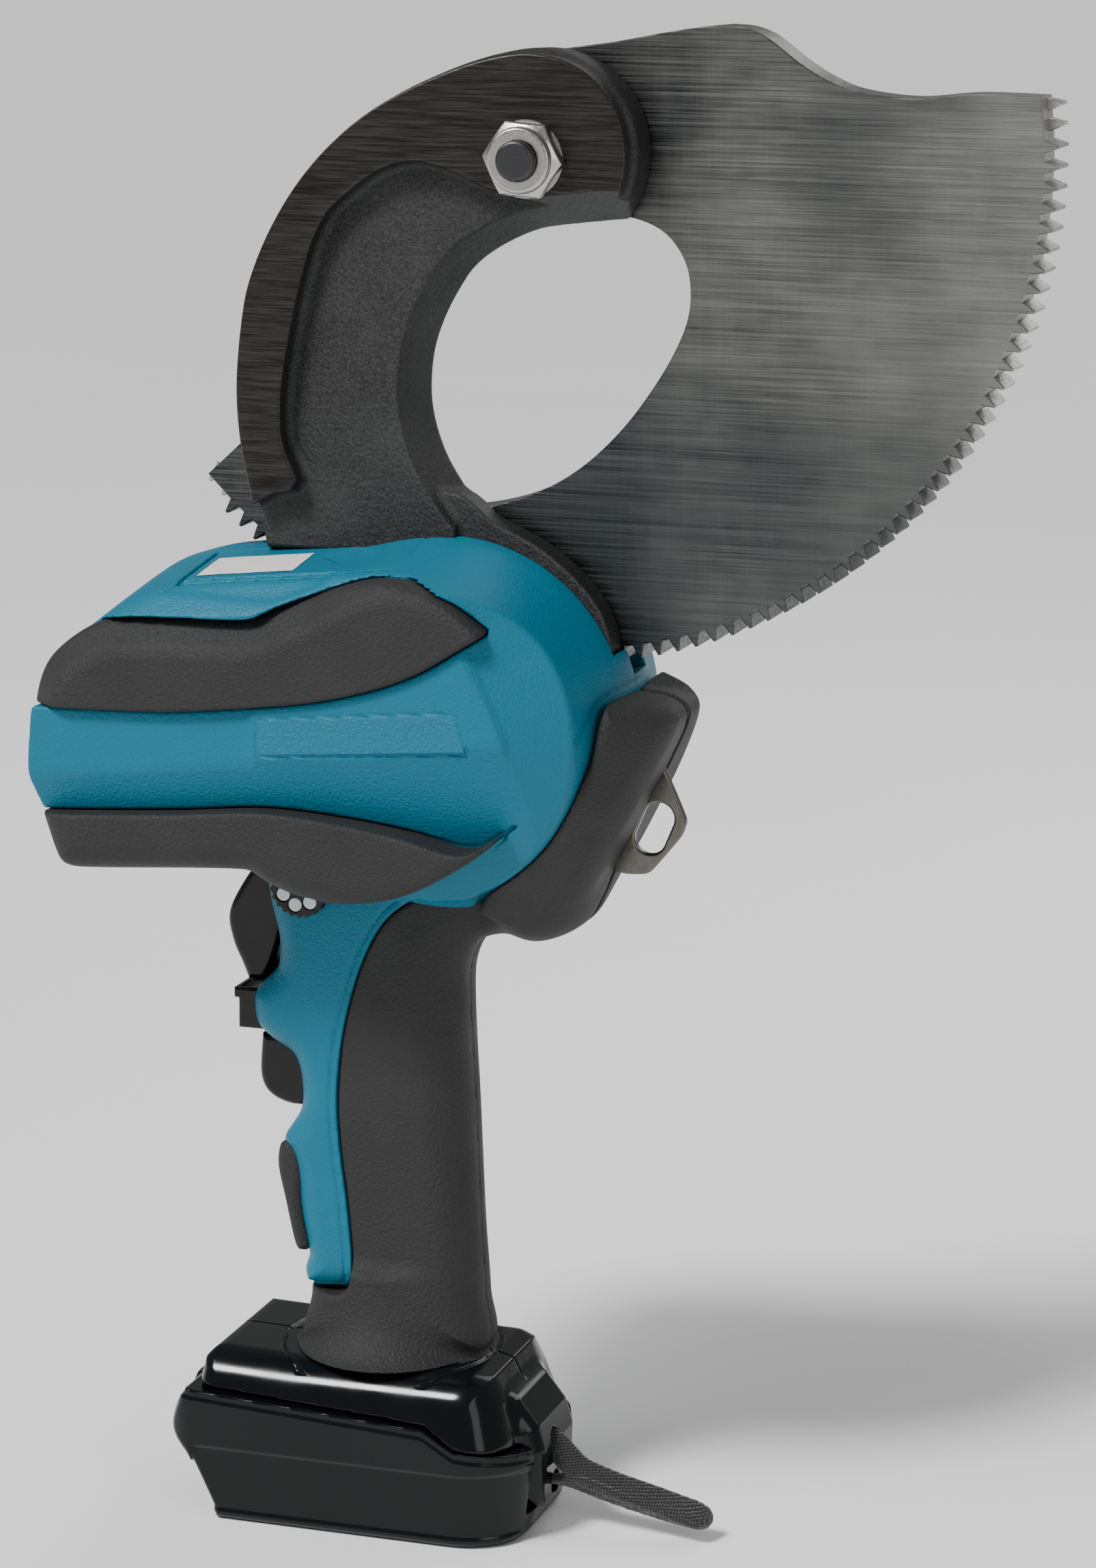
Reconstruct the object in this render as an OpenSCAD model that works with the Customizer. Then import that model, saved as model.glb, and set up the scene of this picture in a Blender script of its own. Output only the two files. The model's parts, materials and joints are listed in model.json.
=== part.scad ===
// Cordless rescue cutter: a toothed crescent blade turned past a fixed hooked jaw by a geared motor.
// Millimetres. X runs from the nose to the back of the tool, Y across it, Z up.
// The origin is the middle of the battery's underside; Y = 0 is the shear plane of the two blades.

/* [Blade drive] */
// Teeth that a full circle of the moving blade would have
sector_teeth = 160; // [156:2:164]
// Full-width teeth actually cut on the blade
cut_teeth = 61; // [57:2:61]
// Module of the blade's teeth
sector_module = 1.9; // [1.86:0.02:1.94]
// Teeth on the drive pinion
pinion_teeth = 12; // [12:1:14]
// Thickness of the moving blade
blade_t = 15.5; // [13:0.5:16]
// Height of the blade pivot above the battery's underside
pivot_z = 430; // [428:1:434]
// Distance of the blade pivot behind the middle of the battery
pivot_x = 51; // [49:1:53]

/* [Gear train] */
// Module of the spur pair behind the drive pinion
spur_module = 1.25; // [1.2:0.05:1.25]
// Teeth on the large spur gear
spur_teeth = 48; // [44:4:48]
// Teeth on the small spur pinion
spur_pinion_teeth = 12; // [12:1:13]
// Teeth on each bevel gear
bevel_teeth = 16; // [14:2:16]
// Module of the bevel gears at their large end
bevel_module = 1.5; // [1.4:0.05:1.5]
// Tilt of the motor, nose down, in degrees
motor_tilt = 4; // [2:0.5:5]

/* [Body] */
// Half width of the body over its side faces
half_w = 57; // [55:1:58]
// Wall of the moulded housing
wall = 3; // [2.5:0.25:3.5]
// Radius of the gear case where the halves meet
case_r = 57; // [56:0.5:58]
// How far the soft bumpers stand out of the side faces
bumper_out = 3; // [2:0.5:4]

/* [Handle and battery] */
// Half width of the handle
grip_half_w = 20; // [18:0.5:21]
// Length of the battery along X
battery_l = 115; // [113:1:116]
// Width of the battery
battery_w = 75; // [73:1:76]

// Radius of the two round ends of the hook plate's eye
eye_r = 4.9; // [4.5:0.1:5]

/* [Hidden] */
$fn = 64;
eps = 0.01;
fit = 0.05;            // radial clearance of a running fit
pressure_angle = 25;
far = 300;

teal = [0.02, 0.44, 0.55];
soft_black = [0.2, 0.2, 0.2];
gloss_black = [0.08, 0.08, 0.09];
steel = [0.62, 0.62, 0.63];
dark_steel = [0.25, 0.25, 0.25];
zinc = [0.72, 0.70, 0.62];
copper = [0.72, 0.42, 0.22];

pivot = [pivot_x, pivot_z];
sector_r = sector_module * sector_teeth / 2;
tooth_step = 360 / sector_teeth;
first_tooth = 2.5;                 // direction of the top tooth, degrees above +X
mesh_tooth = 44;                   // index of the tooth that meets the pinion at rest
mesh_angle = first_tooth - mesh_tooth * tooth_step;
drive_distance = sector_module * (sector_teeth + pinion_teeth) / 2;
drive = pivot + drive_distance * [cos(mesh_angle), sin(mesh_angle)];
idler_angle = 203.5;               // direction from the drive pinion to the idler shaft
spur_distance = spur_module * (spur_teeth + spur_pinion_teeth) / 2;
idler = drive + spur_distance * [cos(idler_angle), sin(idler_angle)];
bevel_r = bevel_module * bevel_teeth / 2;
case_c = [25, 259];
blade_y0 = 0.3;
blade_y1 = blade_y0 + blade_t;
drive_shaft_r = 6;
idler_shaft_r = 4;
plate_y = [-28, 32];               // near faces of the two gear plates
plate_t = 6;
pivot_bolt_r = 6;
bush_r = 9;

// ---- shape helpers -------------------------------------------------------------------------

// A side-view outline in X and Z, given thickness along Y
module slab(points, y0, y1)
  translate([0, y1, 0]) rotate([90, 0, 0]) linear_extrude(y1 - y0) polygon(points);

// A round bar along Y at a side-view point
module rod_y(at, r, y0, y1)
  translate([at[0], y1, at[1]]) rotate([90, 0, 0]) cylinder(r = r, h = y1 - y0);

// A tube along Y
module tube_y(at, r_out, r_in, y0, y1)
  difference() {
    rod_y(at, r_out, y0, y1);
    rod_y(at, r_in, y0 - 1, y1 + 1);
  }

// Puts children on the motor axis, their own +X pointing from the nose to the bevel gears
module on_motor_axis()
  translate([idler[0], 0, idler[1]]) rotate([0, -motor_tilt, 0]) children();

// A round bar along the motor axis, from x0 to x1
module rod_x(r, x0, x1)
  translate([x0, 0, 0]) rotate([0, 90, 0]) cylinder(r = r, h = x1 - x0);

// A flat bar with a rounded plan, standing on Z0
module round_block(x0, x1, half_y, r0, r1, z0, z1) {
  translate([0, 0, z0]) linear_extrude(z1 - z0) {
    difference() {
      translate([x0, -half_y]) square([x1 - x0, 2 * half_y]);
      for (s = [-1, 1]) {
        corner_cut([x0, s * half_y], [1, -s], r0);
        corner_cut([x1, s * half_y], [-1, -s], r1);
      }
    }
  }
}

module corner_cut(at, inward, r)
  translate(at) difference() {
    translate([-1 * inward[0], -1 * inward[1]])
      square_towards(inward, r + 1);
    translate(r * inward) circle(r = r);
  }

module square_towards(inward, size)
  translate([inward[0] < 0 ? -size : 0, inward[1] < 0 ? -size : 0]) square(size);

module left_side() intersection() {
  children();
  translate([-far, -far, -far]) cube([2 * far, far, 3 * far]);
}

module right_side() intersection() {
  children();
  translate([-far, 0, -far]) cube([2 * far, far, 3 * far]);
}

// ---- gear outlines -------------------------------------------------------------------------

function involute_turn(base_r, r) =
  let (t = sqrt(max(0, pow(r / base_r, 2) - 1))) t * 180 / PI - atan(t);

// Half of the angle that a tooth fills at radius r
function tooth_half(teeth, m, slack, r) =
  let (pitch_r = m * teeth / 2, base_r = pitch_r * cos(pressure_angle))
  90 / teeth - slack / pitch_r * 90 / PI + involute_turn(base_r, pitch_r)
  - involute_turn(base_r, max(r, base_r));

function polar(r, a) = [r * cos(a), r * sin(a)];

// One tooth centred on angle a, root to tip to root, counter-clockwise
function tooth_points(teeth, m, slack, a, tip = 1, steps = 4) =
  let (pitch_r = m * teeth / 2,
       root_r = pitch_r - 1.25 * m,
       tip_r = pitch_r + tip * m,
       low = max(root_r, pitch_r * cos(pressure_angle)),
       radii = concat(low > root_r ? [root_r] : [],
                      [for (i = [0 : steps]) low + (tip_r - low) * i / steps]))
  concat([for (r = radii) polar(r, a - tooth_half(teeth, m, slack, r))],
         [for (i = [len(radii) - 1 : -1 : 0])
            polar(radii[i], a + tooth_half(teeth, m, slack, radii[i]))]);

function gear_points(teeth, m, slack, turn, tip = 1) =
  [for (i = [0 : teeth - 1])
     for (p = tooth_points(teeth, m, slack, turn + i * 360 / teeth, tip)) p];

module gear_y(at, teeth, m, turn, y0, y1, slack = 0.3)
  translate([at[0], y1, at[1]]) rotate([90, 0, 0])
    linear_extrude(y1 - y0) polygon(gear_points(teeth, m, slack, turn));

// ---- jaws ----------------------------------------------------------------------------------

// The moving blade's outline without teeth, from its back end round to the tip
function blade_outline() = concat(
  [for (i = [0 : cut_teeth - 1])
     for (p = tooth_points(sector_teeth, sector_module, 0.35,
                           first_tooth - (cut_teeth - 1 - i) * tooth_step, 0.95, 2))
       pivot + p],
  [pivot + polar(sector_r - 2.4, 4), pivot + polar(sector_r - 2.4, 7.6),
   [181, 448.9], [178.9, 450.7], [170.5, 449.6], [162.7, 449.6], [151.7, 449.9], [141.7, 452],
   [134, 455.2], [127.4, 459], [121.5, 464], [116, 467.4], [109, 468.9], [103, 469]],
  [[94, 467.8], [70, 463.4], [51, 460.6]],
  [for (a = [105 : 15 : 195]) pivot + polar(30.5, a)],
  [[32, 411], [44, 409], [52, 410.5], [62, 412], [70, 412.6], [76, 412.4], [82.5, 410.5], [88, 407], [92, 402], [94.8, 394],
   [94.6, 384], [91, 374.5], [84, 362], [75, 349.5], [64, 338.6], [52, 330.4], [38, 324.6],
   [22, 321.4], [5, 321.6], [-12, 327], [-26, 336.5], [-35, 346], [-42.5, 343.5]],
  [pivot + polar(sector_r - 2.4, -137.5)]);

// Two thinner teeth at each end of the row, on the back half of the blade
module end_teeth()
  for (i = [-2, -1, cut_teeth, cut_teeth + 1])
    translate([pivot[0], blade_y1, pivot[1]]) rotate([90, 0, 0])
      linear_extrude(blade_t * 0.5)
        polygon(concat([polar(sector_r - 4, first_tooth - i * tooth_step - 1.1)],
                       tooth_points(sector_teeth, sector_module, 0.35,
                                    first_tooth - i * tooth_step, 0.95, 2),
                       [polar(sector_r - 4, first_tooth - i * tooth_step + 1.1)]));

module moving_blade() color(dark_steel) difference() {
  union() {
    slab(blade_outline(), blade_y0, blade_y1);
    end_teeth();
  }
  rod_y(pivot, bush_r + fit, -1, far);
  rod_y([189, 420], 2, -1, far);
}

// A steel pin pressed through the blade near its back end
module blade_stop_pin() color(dark_steel) rod_y([189, 420], 2, blade_y0 + 1, blade_y1 + 1.5);

jaw_ring = concat(
  [[-33.8, 310.4], [-36.5, 325], [-40.8, 343], [-41.5, 361], [-38.6, 385], [-27, 412.6],
   [-8, 435.4], [14, 449.8], [28.5, 455.4]],
  [for (a = [97 : -15 : -38]) pivot + polar(32, a)],
  [[67.6, 411.2], [51.2, 408.3], [36.5, 401.9], [26.6, 393.3], [20, 381.8], [16, 370], [15.1, 357.2],
   [16.9, 347], [21, 337], [27, 328]]);

jaw_base = [[-33.8, 310.4], [-33.7, 326.1], [27, 328], [37.2, 320.6], [45, 317], [53.2, 312.9],
            [63, 305.5], [70.7, 297.2], [74, 289], [75.3, 281], [71, 262], [60, 247], [16, 247],
            [14, 275], [-28, 297]];

jaw_bolt_spots = [[20, 295], [44, 294], [59, 280]];

module fixed_jaw() color(dark_steel) difference() {
  union() {
    slab(jaw_ring, -15, 0);
    slab(jaw_base, -11, 0);
    // raised, ground rim along the outer edge
    slab(concat([[-31, 330], [-36, 343], [-36.8, 361], [-34, 383], [-23, 409.6], [-5.5, 431.5],
                 [16, 445.5], [29.5, 451]],
                [for (a = [97 : -15 : -30]) pivot + polar(28.5, a)],
                [[62, 412], [38.3, 421], [16.3, 428.4], [1.5, 423.3], [-8.4, 416], [-15.9, 405.2],
                 [-23.4, 374.4], [-26.5, 357.7], [-26, 343.4], [-24.5, 331]]), -21.5, -14.9);
  }
  rod_y(pivot, pivot_bolt_r + fit, -far, far);
  rod_y(drive, drive_shaft_r + 3, -far, far);
  for (p = jaw_bolt_spots) rod_y(p, 4, -far, far);
  // the cutting edge is ground back from the shear plane
  hull() {
    slab([[71, 407], [54, 404.5], [40, 399], [31, 390], [25, 380], [21.5, 368], [20.5, 357],
          [22.5, 347], [27, 338], [34, 330], [72, 352]], -22, -21);
    slab([[67.6, 411.2], [51.2, 408.3], [36.5, 401.9], [26.6, 393.3], [20, 381.8], [16, 370],
          [15.1, 357.2], [16.9, 347], [21, 337], [27, 328], [72, 352]], -0.9, 1);
  }
}

module jaw_bolts() color(steel) for (p = jaw_bolt_spots) {
  rod_y(p, 4, plate_y[0] + plate_t + 0.1, -0.6);
  translate([p[0], plate_y[0] - 0.02, p[1]]) rotate([90, 0, 0]) cylinder(r = 6.5, h = 5, $fn = 6);
}

module pivot_bolt() color(dark_steel) difference() {
  union() {
    rod_y(pivot, pivot_bolt_r, -34, blade_y1 + 2);
    translate([pivot[0], blade_y1 + 9, pivot[1]]) rotate([90, 0, 0]) cylinder(r = 12, h = 7, $fn = 6);
  }
  rod_y(pivot, 2, -35, -32);
}

module pivot_bush() color("goldenrod") tube_y(pivot, bush_r, pivot_bolt_r + fit, blade_y0, blade_y1);

module pivot_washer() color(steel) tube_y(pivot, 11.5, pivot_bolt_r + fit, -23, -21.5);

module pivot_nut() color(steel) difference() {
  union() {
    translate([pivot[0], -23, pivot[1]]) rotate([90, 0, 0]) cylinder(r = 12, h = 6, $fn = 6);
    rod_y(pivot, 9.8, -31, -29);
  }
  rod_y(pivot, pivot_bolt_r + eps, -40, 0);
}

// ---- gear train ----------------------------------------------------------------------------

module drive_pinion() color(steel) {
  gear_y(drive, pinion_teeth, sector_module, mesh_angle + 180 + 180 / pinion_teeth,
         blade_y0 - 0.1, blade_y1 + 1);
  rod_y(drive, drive_shaft_r, plate_y[0] - 1, 20);
  rod_y(drive, drive_shaft_r - 1, 20, plate_y[1] + plate_t + 1);
}

module spur_gear() color(steel) difference() {
  gear_y(drive, spur_teeth, spur_module, idler_angle, 20, 28);
  rod_y(drive, drive_shaft_r - 1, 19, 29);
  for (i = [0 : 5]) rod_y(drive + polar(18.5, 60 * i), 5, 19, 29);
}

module idler_shaft() color(steel) {
  rod_y(idler, idler_shaft_r, plate_y[0] - 1, 18.9);
  gear_y(idler, spur_pinion_teeth, spur_module, idler_angle + 180 + 180 / spur_pinion_teeth, 18.9, 29);
  rod_y(idler, idler_shaft_r, 29, plate_y[1] + plate_t + 1);
}

// A bevel gear around Z: large end at z = bevel_r, teeth running down towards the origin
module bevel(turn) {
  face = 5.5;
  translate([0, 0, bevel_r]) mirror([0, 0, 1])
    linear_extrude(face, scale = (bevel_r - face) / bevel_r)
      polygon(gear_points(bevel_teeth, bevel_module, 0.75, turn, 0.6));
}

module bevel_gear() color(steel) difference() {
  union() {
    translate([idler[0], 0, idler[1]]) rotate([-90, 0, 0]) bevel(-motor_tilt);
    rod_y(idler, bevel_r - 2.2, bevel_r - eps, 18);
  }
  rod_y(idler, idler_shaft_r, 0, 30);
}

module bevel_pinion() color(steel) on_motor_axis() difference() {
  union() {
    rotate([0, -90, 0]) bevel(180 / bevel_teeth);
    rod_x(7, -bevel_r - 5, -bevel_r + eps);
  }
  rod_x(2.5, -20, 0);
}

module bearing_pair(at, r_in, r_out)
  for (y = plate_y) tube_y(at, r_out, r_in, y, y + plate_t);

module pinion_bearings() color("silver") {
  tube_y(drive, 13, drive_shaft_r + fit, plate_y[0], plate_y[0] + plate_t);
  tube_y(drive, 13, drive_shaft_r - 1 + fit, plate_y[1], plate_y[1] + plate_t);
}

module idler_bearings() color("silver") bearing_pair(idler, idler_shaft_r + fit, 10);

plate_outline = [[-14, 236], [-18, 248], [-16, 264], [-4, 285], [16, 301], [38, 304], [57, 290],
                 [69, 272], [68, 252], [65, 237], [52, 230], [30, 226], [4, 226]];
spacer_spots = [[62, 241], [20, 232]];

module gear_plate(y) color("lightgray") difference() {
  slab(plate_outline, y, y + plate_t);
  rod_y(drive, 13, y - 1, y + plate_t + 1);
  rod_y(idler, 10, y - 1, y + plate_t + 1);
  for (p = spacer_spots) rod_y(p, 3, y - 1, y + plate_t + 1);
  if (y < 0) for (p = jaw_bolt_spots) rod_y(p, 4, y - 1, y + plate_t + 1);
}

module gear_plate_left() gear_plate(plate_y[0]);
module gear_plate_right() gear_plate(plate_y[1]);

// Shouldered posts that hold the two gear plates apart
module plate_spacers() color(steel) for (p = spacer_spots) {
  rod_y(p, 3, plate_y[0], plate_y[1] + plate_t);
  rod_y(p, 5, plate_y[0] + plate_t, plate_y[1]);
}

// ---- motor ---------------------------------------------------------------------------------

can_x = [-82, -32];
can_r = 24;
can_in_r = 20.5;

module motor_can() color("dimgray") on_motor_axis() difference() {
  rod_x(can_r, can_x[0], can_x[1]);
  rod_x(can_in_r, can_x[0] + 2, can_x[1] + 1);
  rod_x(5, can_x[0] - 1, can_x[1]);
}

module motor_magnets() color("black") on_motor_axis() for (s = [-1, 1]) difference() {
  intersection() {
    rod_x(can_in_r, -72, -44);
    translate([-73, s * 22 - 15.5, -14]) cube([30, 31, 28]);
  }
  rod_x(15.5, -73, -43);
}

module motor_end_bell() color("gray") on_motor_axis() difference() {
  rod_x(can_in_r, -36, can_x[1]);
  rod_x(8, -37, -31);
}

module motor_rotor() color(copper) on_motor_axis() {
  rod_x(2.5, -84, -bevel_r + 6.4);
  difference() {
    rod_x(14.5, -72, -46);
    rod_x(2.4, -73, -45);
    for (i = [0 : 11]) rotate([30 * i, 0, 0]) translate([-73, -0.8, 11]) cube([28, 1.6, 5]);
  }
  rod_x(7, -78, -72);
}

module motor_fan() color("black") on_motor_axis() difference() {
  union() {
    rod_x(5, -44, -38);
    rod_x(19, -39.5, -38);
    for (i = [0 : 8]) rotate([40 * i, 0, 0]) translate([-44, -0.6, 3]) cube([5, 1.2, 15]);
  }
  rod_x(2.5, -45, -37);
}

module motor_bearings() color("silver") on_motor_axis() {
  difference() {
    rod_x(8, -36, -32);
    rod_x(2.5 + fit, -37, -31);
  }
  difference() {
    rod_x(5, -84, can_x[0] + 2);
    rod_x(2.5 + fit, -85, -79);
  }
}

module motor_bracket() color("lightgray") on_motor_axis() difference() {
  union() {
    rod_x(27, -32, -26);
    translate([-60, -30, -26]) cube([34, 60, 4]);
  }
  rod_x(9, -33, -25);
  rod_x(can_r, -61, -32);
}

// ---- housing -------------------------------------------------------------------------------

nose_low = [[-86, 215], [-91.5, 229.5], [-96, 243], [-94.5, 263], [-88.5, 278], [-70, 290],
            [-24, 293.5], [24, 300], [40, 296], [56, 262], [52, 240], [30, 218]];
nose_mid = [[-82, 217], [-90, 243], [-88, 265], [-66, 297],
            [-50, 302], [14, 309], [30, 300], [30, 220]];
nose_top = [[-80, 219], [-86, 243], [-84, 262], [-66.5, 302],
            [-51.3, 307], [16, 314], [24, 300], [24, 220]];
nose_low_in = [[-83, 219], [-88, 230], [-92.5, 243], [-91, 262], [-85.5, 275.5], [-69, 286.5],
               [-24, 290], [24, 296], [37, 293], [52, 262], [49, 242], [29, 221]];
nose_mid_in = [[-79, 221], [-86, 243], [-85, 264], [-64.5, 293.5],
               [-50, 298.5], [13, 305.5], [27, 298], [27, 223]];
nose_top_in = [[-77, 222], [-83, 243], [-81, 262], [-64.5, 298.5],
               [-50.5, 303.5], [14, 310.5], [20, 298], [20, 223]];

module nose_solid() hull() {
  slab(nose_low, -half_w, half_w);
  slab(nose_mid, -46, 46);
  slab(nose_top, -8, 8);
}

module nose_hollow() hull() {
  slab(nose_low_in, -half_w + wall + bumper_out + 1, half_w - wall - bumper_out - 1);
  slab(nose_mid_in, -43, 43);
  slab(nose_top_in, -8, 8);
}

module case_solid() {
  for (s = [-1, 1]) scale([1, s, 1]) {
    translate([case_c[0], 0, case_c[1]]) rotate([-90, 0, 0])
      cylinder(r1 = case_r, r2 = case_r - 9, h = half_w - 4, $fn = 96);
    translate([case_c[0], half_w - 4, case_c[1]]) rotate([-90, 0, 0])
      cylinder(r1 = case_r - 9, r2 = case_r - 14, h = 4, $fn = 96);
  }
}

module case_hollow() {
  for (s = [-1, 1]) scale([1, s, 1])
    translate([case_c[0], -eps, case_c[1]]) rotate([-90, 0, 0])
      cylinder(r1 = case_r - wall, r2 = case_r - wall - 9, h = half_w - wall - 2, $fn = 96);
}

// Side outlines of the handle: the moulded core and the soft grip behind it
handle_core = [[-36, 216], [-33, 196], [-31, 180], [-35, 172], [-39.5, 166], [-38.4, 157], [-30, 152],
               [-24.5, 149], [-24, 130], [-27.6, 122], [-27.6, 103], [-23.5, 88], [-20, 74], [-4, 74],
               [-6, 100], [-10, 130], [-8, 160], [0, 190], [14, 206], [30, 216]];
grip_outline = [[-4, 74], [-6, 100], [-10, 130], [-8, 160], [0, 190], [14, 203], [34, 208], [52, 219],
                [66, 235], [76, 253], [79, 268], [92, 268], [97, 262], [81, 228], [70, 205], [63, 196.5],
                [50, 191.5], [36, 190], [30, 184], [28.3, 174], [30, 136], [32, 98], [34, 74]];
core_tongue = [[-4, 60], [-6, 100], [-10, 130], [-8, 160], [0, 190], [14, 206], [26, 208], [22, 190],
               [20, 174], [22, 136], [24, 98], [25, 60]];

upper_bumper = [[-94.7, 263.4], [-88.5, 278.4], [-69.9, 290.6], [-24.4, 293.4], [-15.6, 297.3],
                [5.5, 305.2], [15.3, 307.4], [25.1, 307.2], [38.5, 302.6], [49.5, 294.3], [43.4, 289.2],
                [31, 281.5], [17.9, 275.9], [0, 271], [-19.2, 267.9], [-50, 264.5]];
lower_bumper = [[-91.3, 230], [-85.5, 214.6], [-80, 213.5], [-25.9, 217], [-9.5, 210.3], [5.5, 208.6],
                [25.5, 213.1], [45.2, 224.3], [57, 234.6], [45, 228], [25, 232], [5.6, 234.2],
                [-19.4, 235.8]];

bumper_in = half_w - 6;
module bumper(points, s) color(soft_black)
  slab(points, s < 0 ? -half_w - bumper_out : bumper_in, s < 0 ? -bumper_in : half_w + bumper_out);

module bumper_upper_left() bumper(upper_bumper, -1);
module bumper_upper_right() bumper(upper_bumper, 1);
module bumper_lower_left() bumper(lower_bumper, -1);
module bumper_lower_right() bumper(lower_bumper, 1);

// Space that the blade and its teeth sweep inside the right half
module blade_slot() {
  rod_y(pivot, sector_r + sector_module + 2.5, -0.1, blade_y1 + 1);
}

// Opening for the fixed jaw in the left half
jaw_window = [[-34.5, 309], [-34.5, 340], [90, 340], [90, 290], [75.8, 281], [71, 262], [60, 246],
              [15, 246], [13, 275], [-28, 296.5]];

screw_spots = [[-62, 284], [-22, 227], [73, 246], [-21, 114]];
screw_seat = [20, 20, 20, 11];     // height of each screw's head seat above the shear plane

module top_cover_zone() translate([-52, -44, 200]) cube([68, 31.5, 200]);

module top_cover_skin() intersection() {
  difference() {
    nose_solid();
    translate([0, 0, -2]) nose_solid();
  }
  top_cover_zone();
}

// Posts across the hollow body that take the screws
module screw_posts() intersection() {
  for (i = [0 : len(screw_spots) - 1]) rod_y(screw_spots[i], 4, -30, screw_seat[i]);
  union() {
    nose_solid();
    case_solid();
  }
}

module screw_holes() for (i = [0 : len(screw_spots) - 1]) {
  rod_y(screw_spots[i], 1.5, -12, screw_seat[i] + 1);
  rod_y(screw_spots[i], 3.2, screw_seat[i], i == 0 ? bumper_in : far);
}

module shell_and_posts() {
  difference() {
    union() {
      nose_solid();
      case_solid();
      slab(handle_core, -grip_half_w, grip_half_w);
      slab(core_tongue, -grip_half_w + 4, grip_half_w - 4);
    }
    nose_hollow();
    case_hollow();
  }
  screw_posts();
}

module housing_body() difference() {
  shell_and_posts();
  screw_holes();
  // hollow of the handle
  slab([[-20, 214], [-20, 170], [-14, 150], [-14, 118], [-16, 90], [-14, 56], [20, 56], [18, 100],
        [16, 136], [14, 174], [14, 214]], -grip_half_w + 8, grip_half_w - 8);
  for (s = [-1, 1]) {
    slab(upper_bumper, s < 0 ? -far : bumper_in, s < 0 ? -bumper_in : far);
    slab(lower_bumper, s < 0 ? -far : bumper_in, s < 0 ? -bumper_in : far);
  }
  blade_slot();
  slab(jaw_window, -11.2, 0.1);
  slab([[-41, 326], [-41, 340], [90, 340], [90, 300]], -far, far);
  slab([[-34.5, 316.2], [-34.5, 340], [90, 340], [90, 316.2]], -far, far);
  top_cover_skin();
  trigger_space();
  slab([[66, 190], [66, 252], [70, 252], [110, 300], [110, 190]], -1.6, 1.6);
  dial_space();
  lens_space();
}

module trigger_space() {
  slab([[-60, 132], [-60, 153], [-16.2, 153], [-16.2, 127], [-30, 127]], -7.5, 7.5);
  slab([[-60, 168.9], [-60, 212], [-21, 212], [-21, 176], [-28, 168.9]], -7.5, 7.5);
  slab([[-50, 154], [-50, 168.5], [-33, 168.5], [-33, 154]], -15.5, 15.5);
  slab([[-17, 137], [-17, 145], [-13.4, 145], [-13.4, 137]], -4, 4);
  rod_y(trigger_axis, 1.6, -9.5, 9.5);
}

module dial_space() rod_y([-20, 205], 10.2, -23, -15.9);

module lens_space() slab([[-92, 210], [-92, 219.5], [-76, 219.5], [-76, 210]], -6, 6);

module housing_left() color(teal) left_side() housing_body();
module housing_right() color(teal) right_side() housing_body();

module top_cover() color(teal) top_cover_skin();

module nameplate() color(teal)
  slab([[-20.5, 253], [-20.5, 263.8], [39.5, 268.5], [44, 257.4]], -half_w - 1, -half_w);

module led_lens() color([0.9, 0.95, 1, 0.5])
  slab([[-91, 214.5], [-91, 219], [-77, 219], [-77, 211.5]], -5.5, 5.5);

module grip_body() difference() {
  union() {
    slab(grip_outline, -grip_half_w, grip_half_w);
    // broad rear bumper behind the gear case
    slab([[52, 219], [66, 235], [76, 253], [79, 268], [92, 268], [97, 262], [81, 228], [70, 205],
          [63, 196.5], [50, 192], [40, 200]], -38, 38);
    // trumpet-shaped end of the grip
    translate([3.2, 0, 54]) scale([1, 1.1, 1]) cylinder(r1 = 33, r2 = 23, h = 12);
    translate([5, 0, 66]) scale([1, 0.9, 1]) cylinder(r1 = 24, r2 = 23, h = 9);
  }
  slab(core_tongue, -grip_half_w + 4, grip_half_w - 4);
  slab(handle_core, -far, far);
  case_solid();
  nose_solid();
  slab([[66, 190], [66, 252], [70, 252], [110, 300], [110, 190]], -1.6, 1.6);
  slab([[-14, 50], [-14, 60], [20, 60], [20, 50]], -12, 12);
}

module grip_left() color(soft_black) left_side() grip_body();
module grip_right() color(soft_black) right_side() grip_body();

module front_pad() color(soft_black)
  slab([[-27.6, 122], [-30.2, 119], [-30.2, 102], [-26, 86], [-23.1, 86], [-27.6, 103]], -9, 9);

module hook_plate() color(zinc) difference() {
  slab([[67, 215], [77.3, 212.4], [85.5, 212.8], [96.2, 226], [97.4, 230], [89.5, 247.5],
        [85.5, 247.5], [67, 236]], -1.5, 1.5);
  hull() for (p = [[86, 224], [88.6, 230.4]]) rod_y(p, eye_r, -3, 3);
  for (p = [[71, 219.5], [71, 231]]) rod_y(p, 1.6, -3, 3);
}

module hook_screws() color(steel) for (p = [[71, 219.5], [71, 231]]) rod_y(p, 1.55, -1.4, 1.4);

// Self-tapping screws driven from the right side
module housing_screws() color(steel) for (i = [0 : len(screw_spots) - 1]) {
  rod_y(screw_spots[i], 1.5, -11.5, screw_seat[i] + eps);
  rod_y(screw_spots[i], 3, screw_seat[i], screw_seat[i] + 2.2);
}

// ---- controls ------------------------------------------------------------------------------

module lower_trigger() color(gloss_black)
  slab([[-39, 152.5], [-39.6, 140], [-38, 134.5], [-33.5, 131.2], [-28.3, 130], [-22.5, 130.5],
        [-22.5, 152.5]], -6.8, 6.8);

module trigger_spring() color(steel) tube_x([-22.4, 141], 2.6, 1.4, 8.8);

module tube_x(at, r_out, r_in, length)
  translate([at[0], 0, at[1]]) difference() {
    rod_x(r_out, 0, length);
    rod_x(r_in, -1, length + 1);
  }

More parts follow.
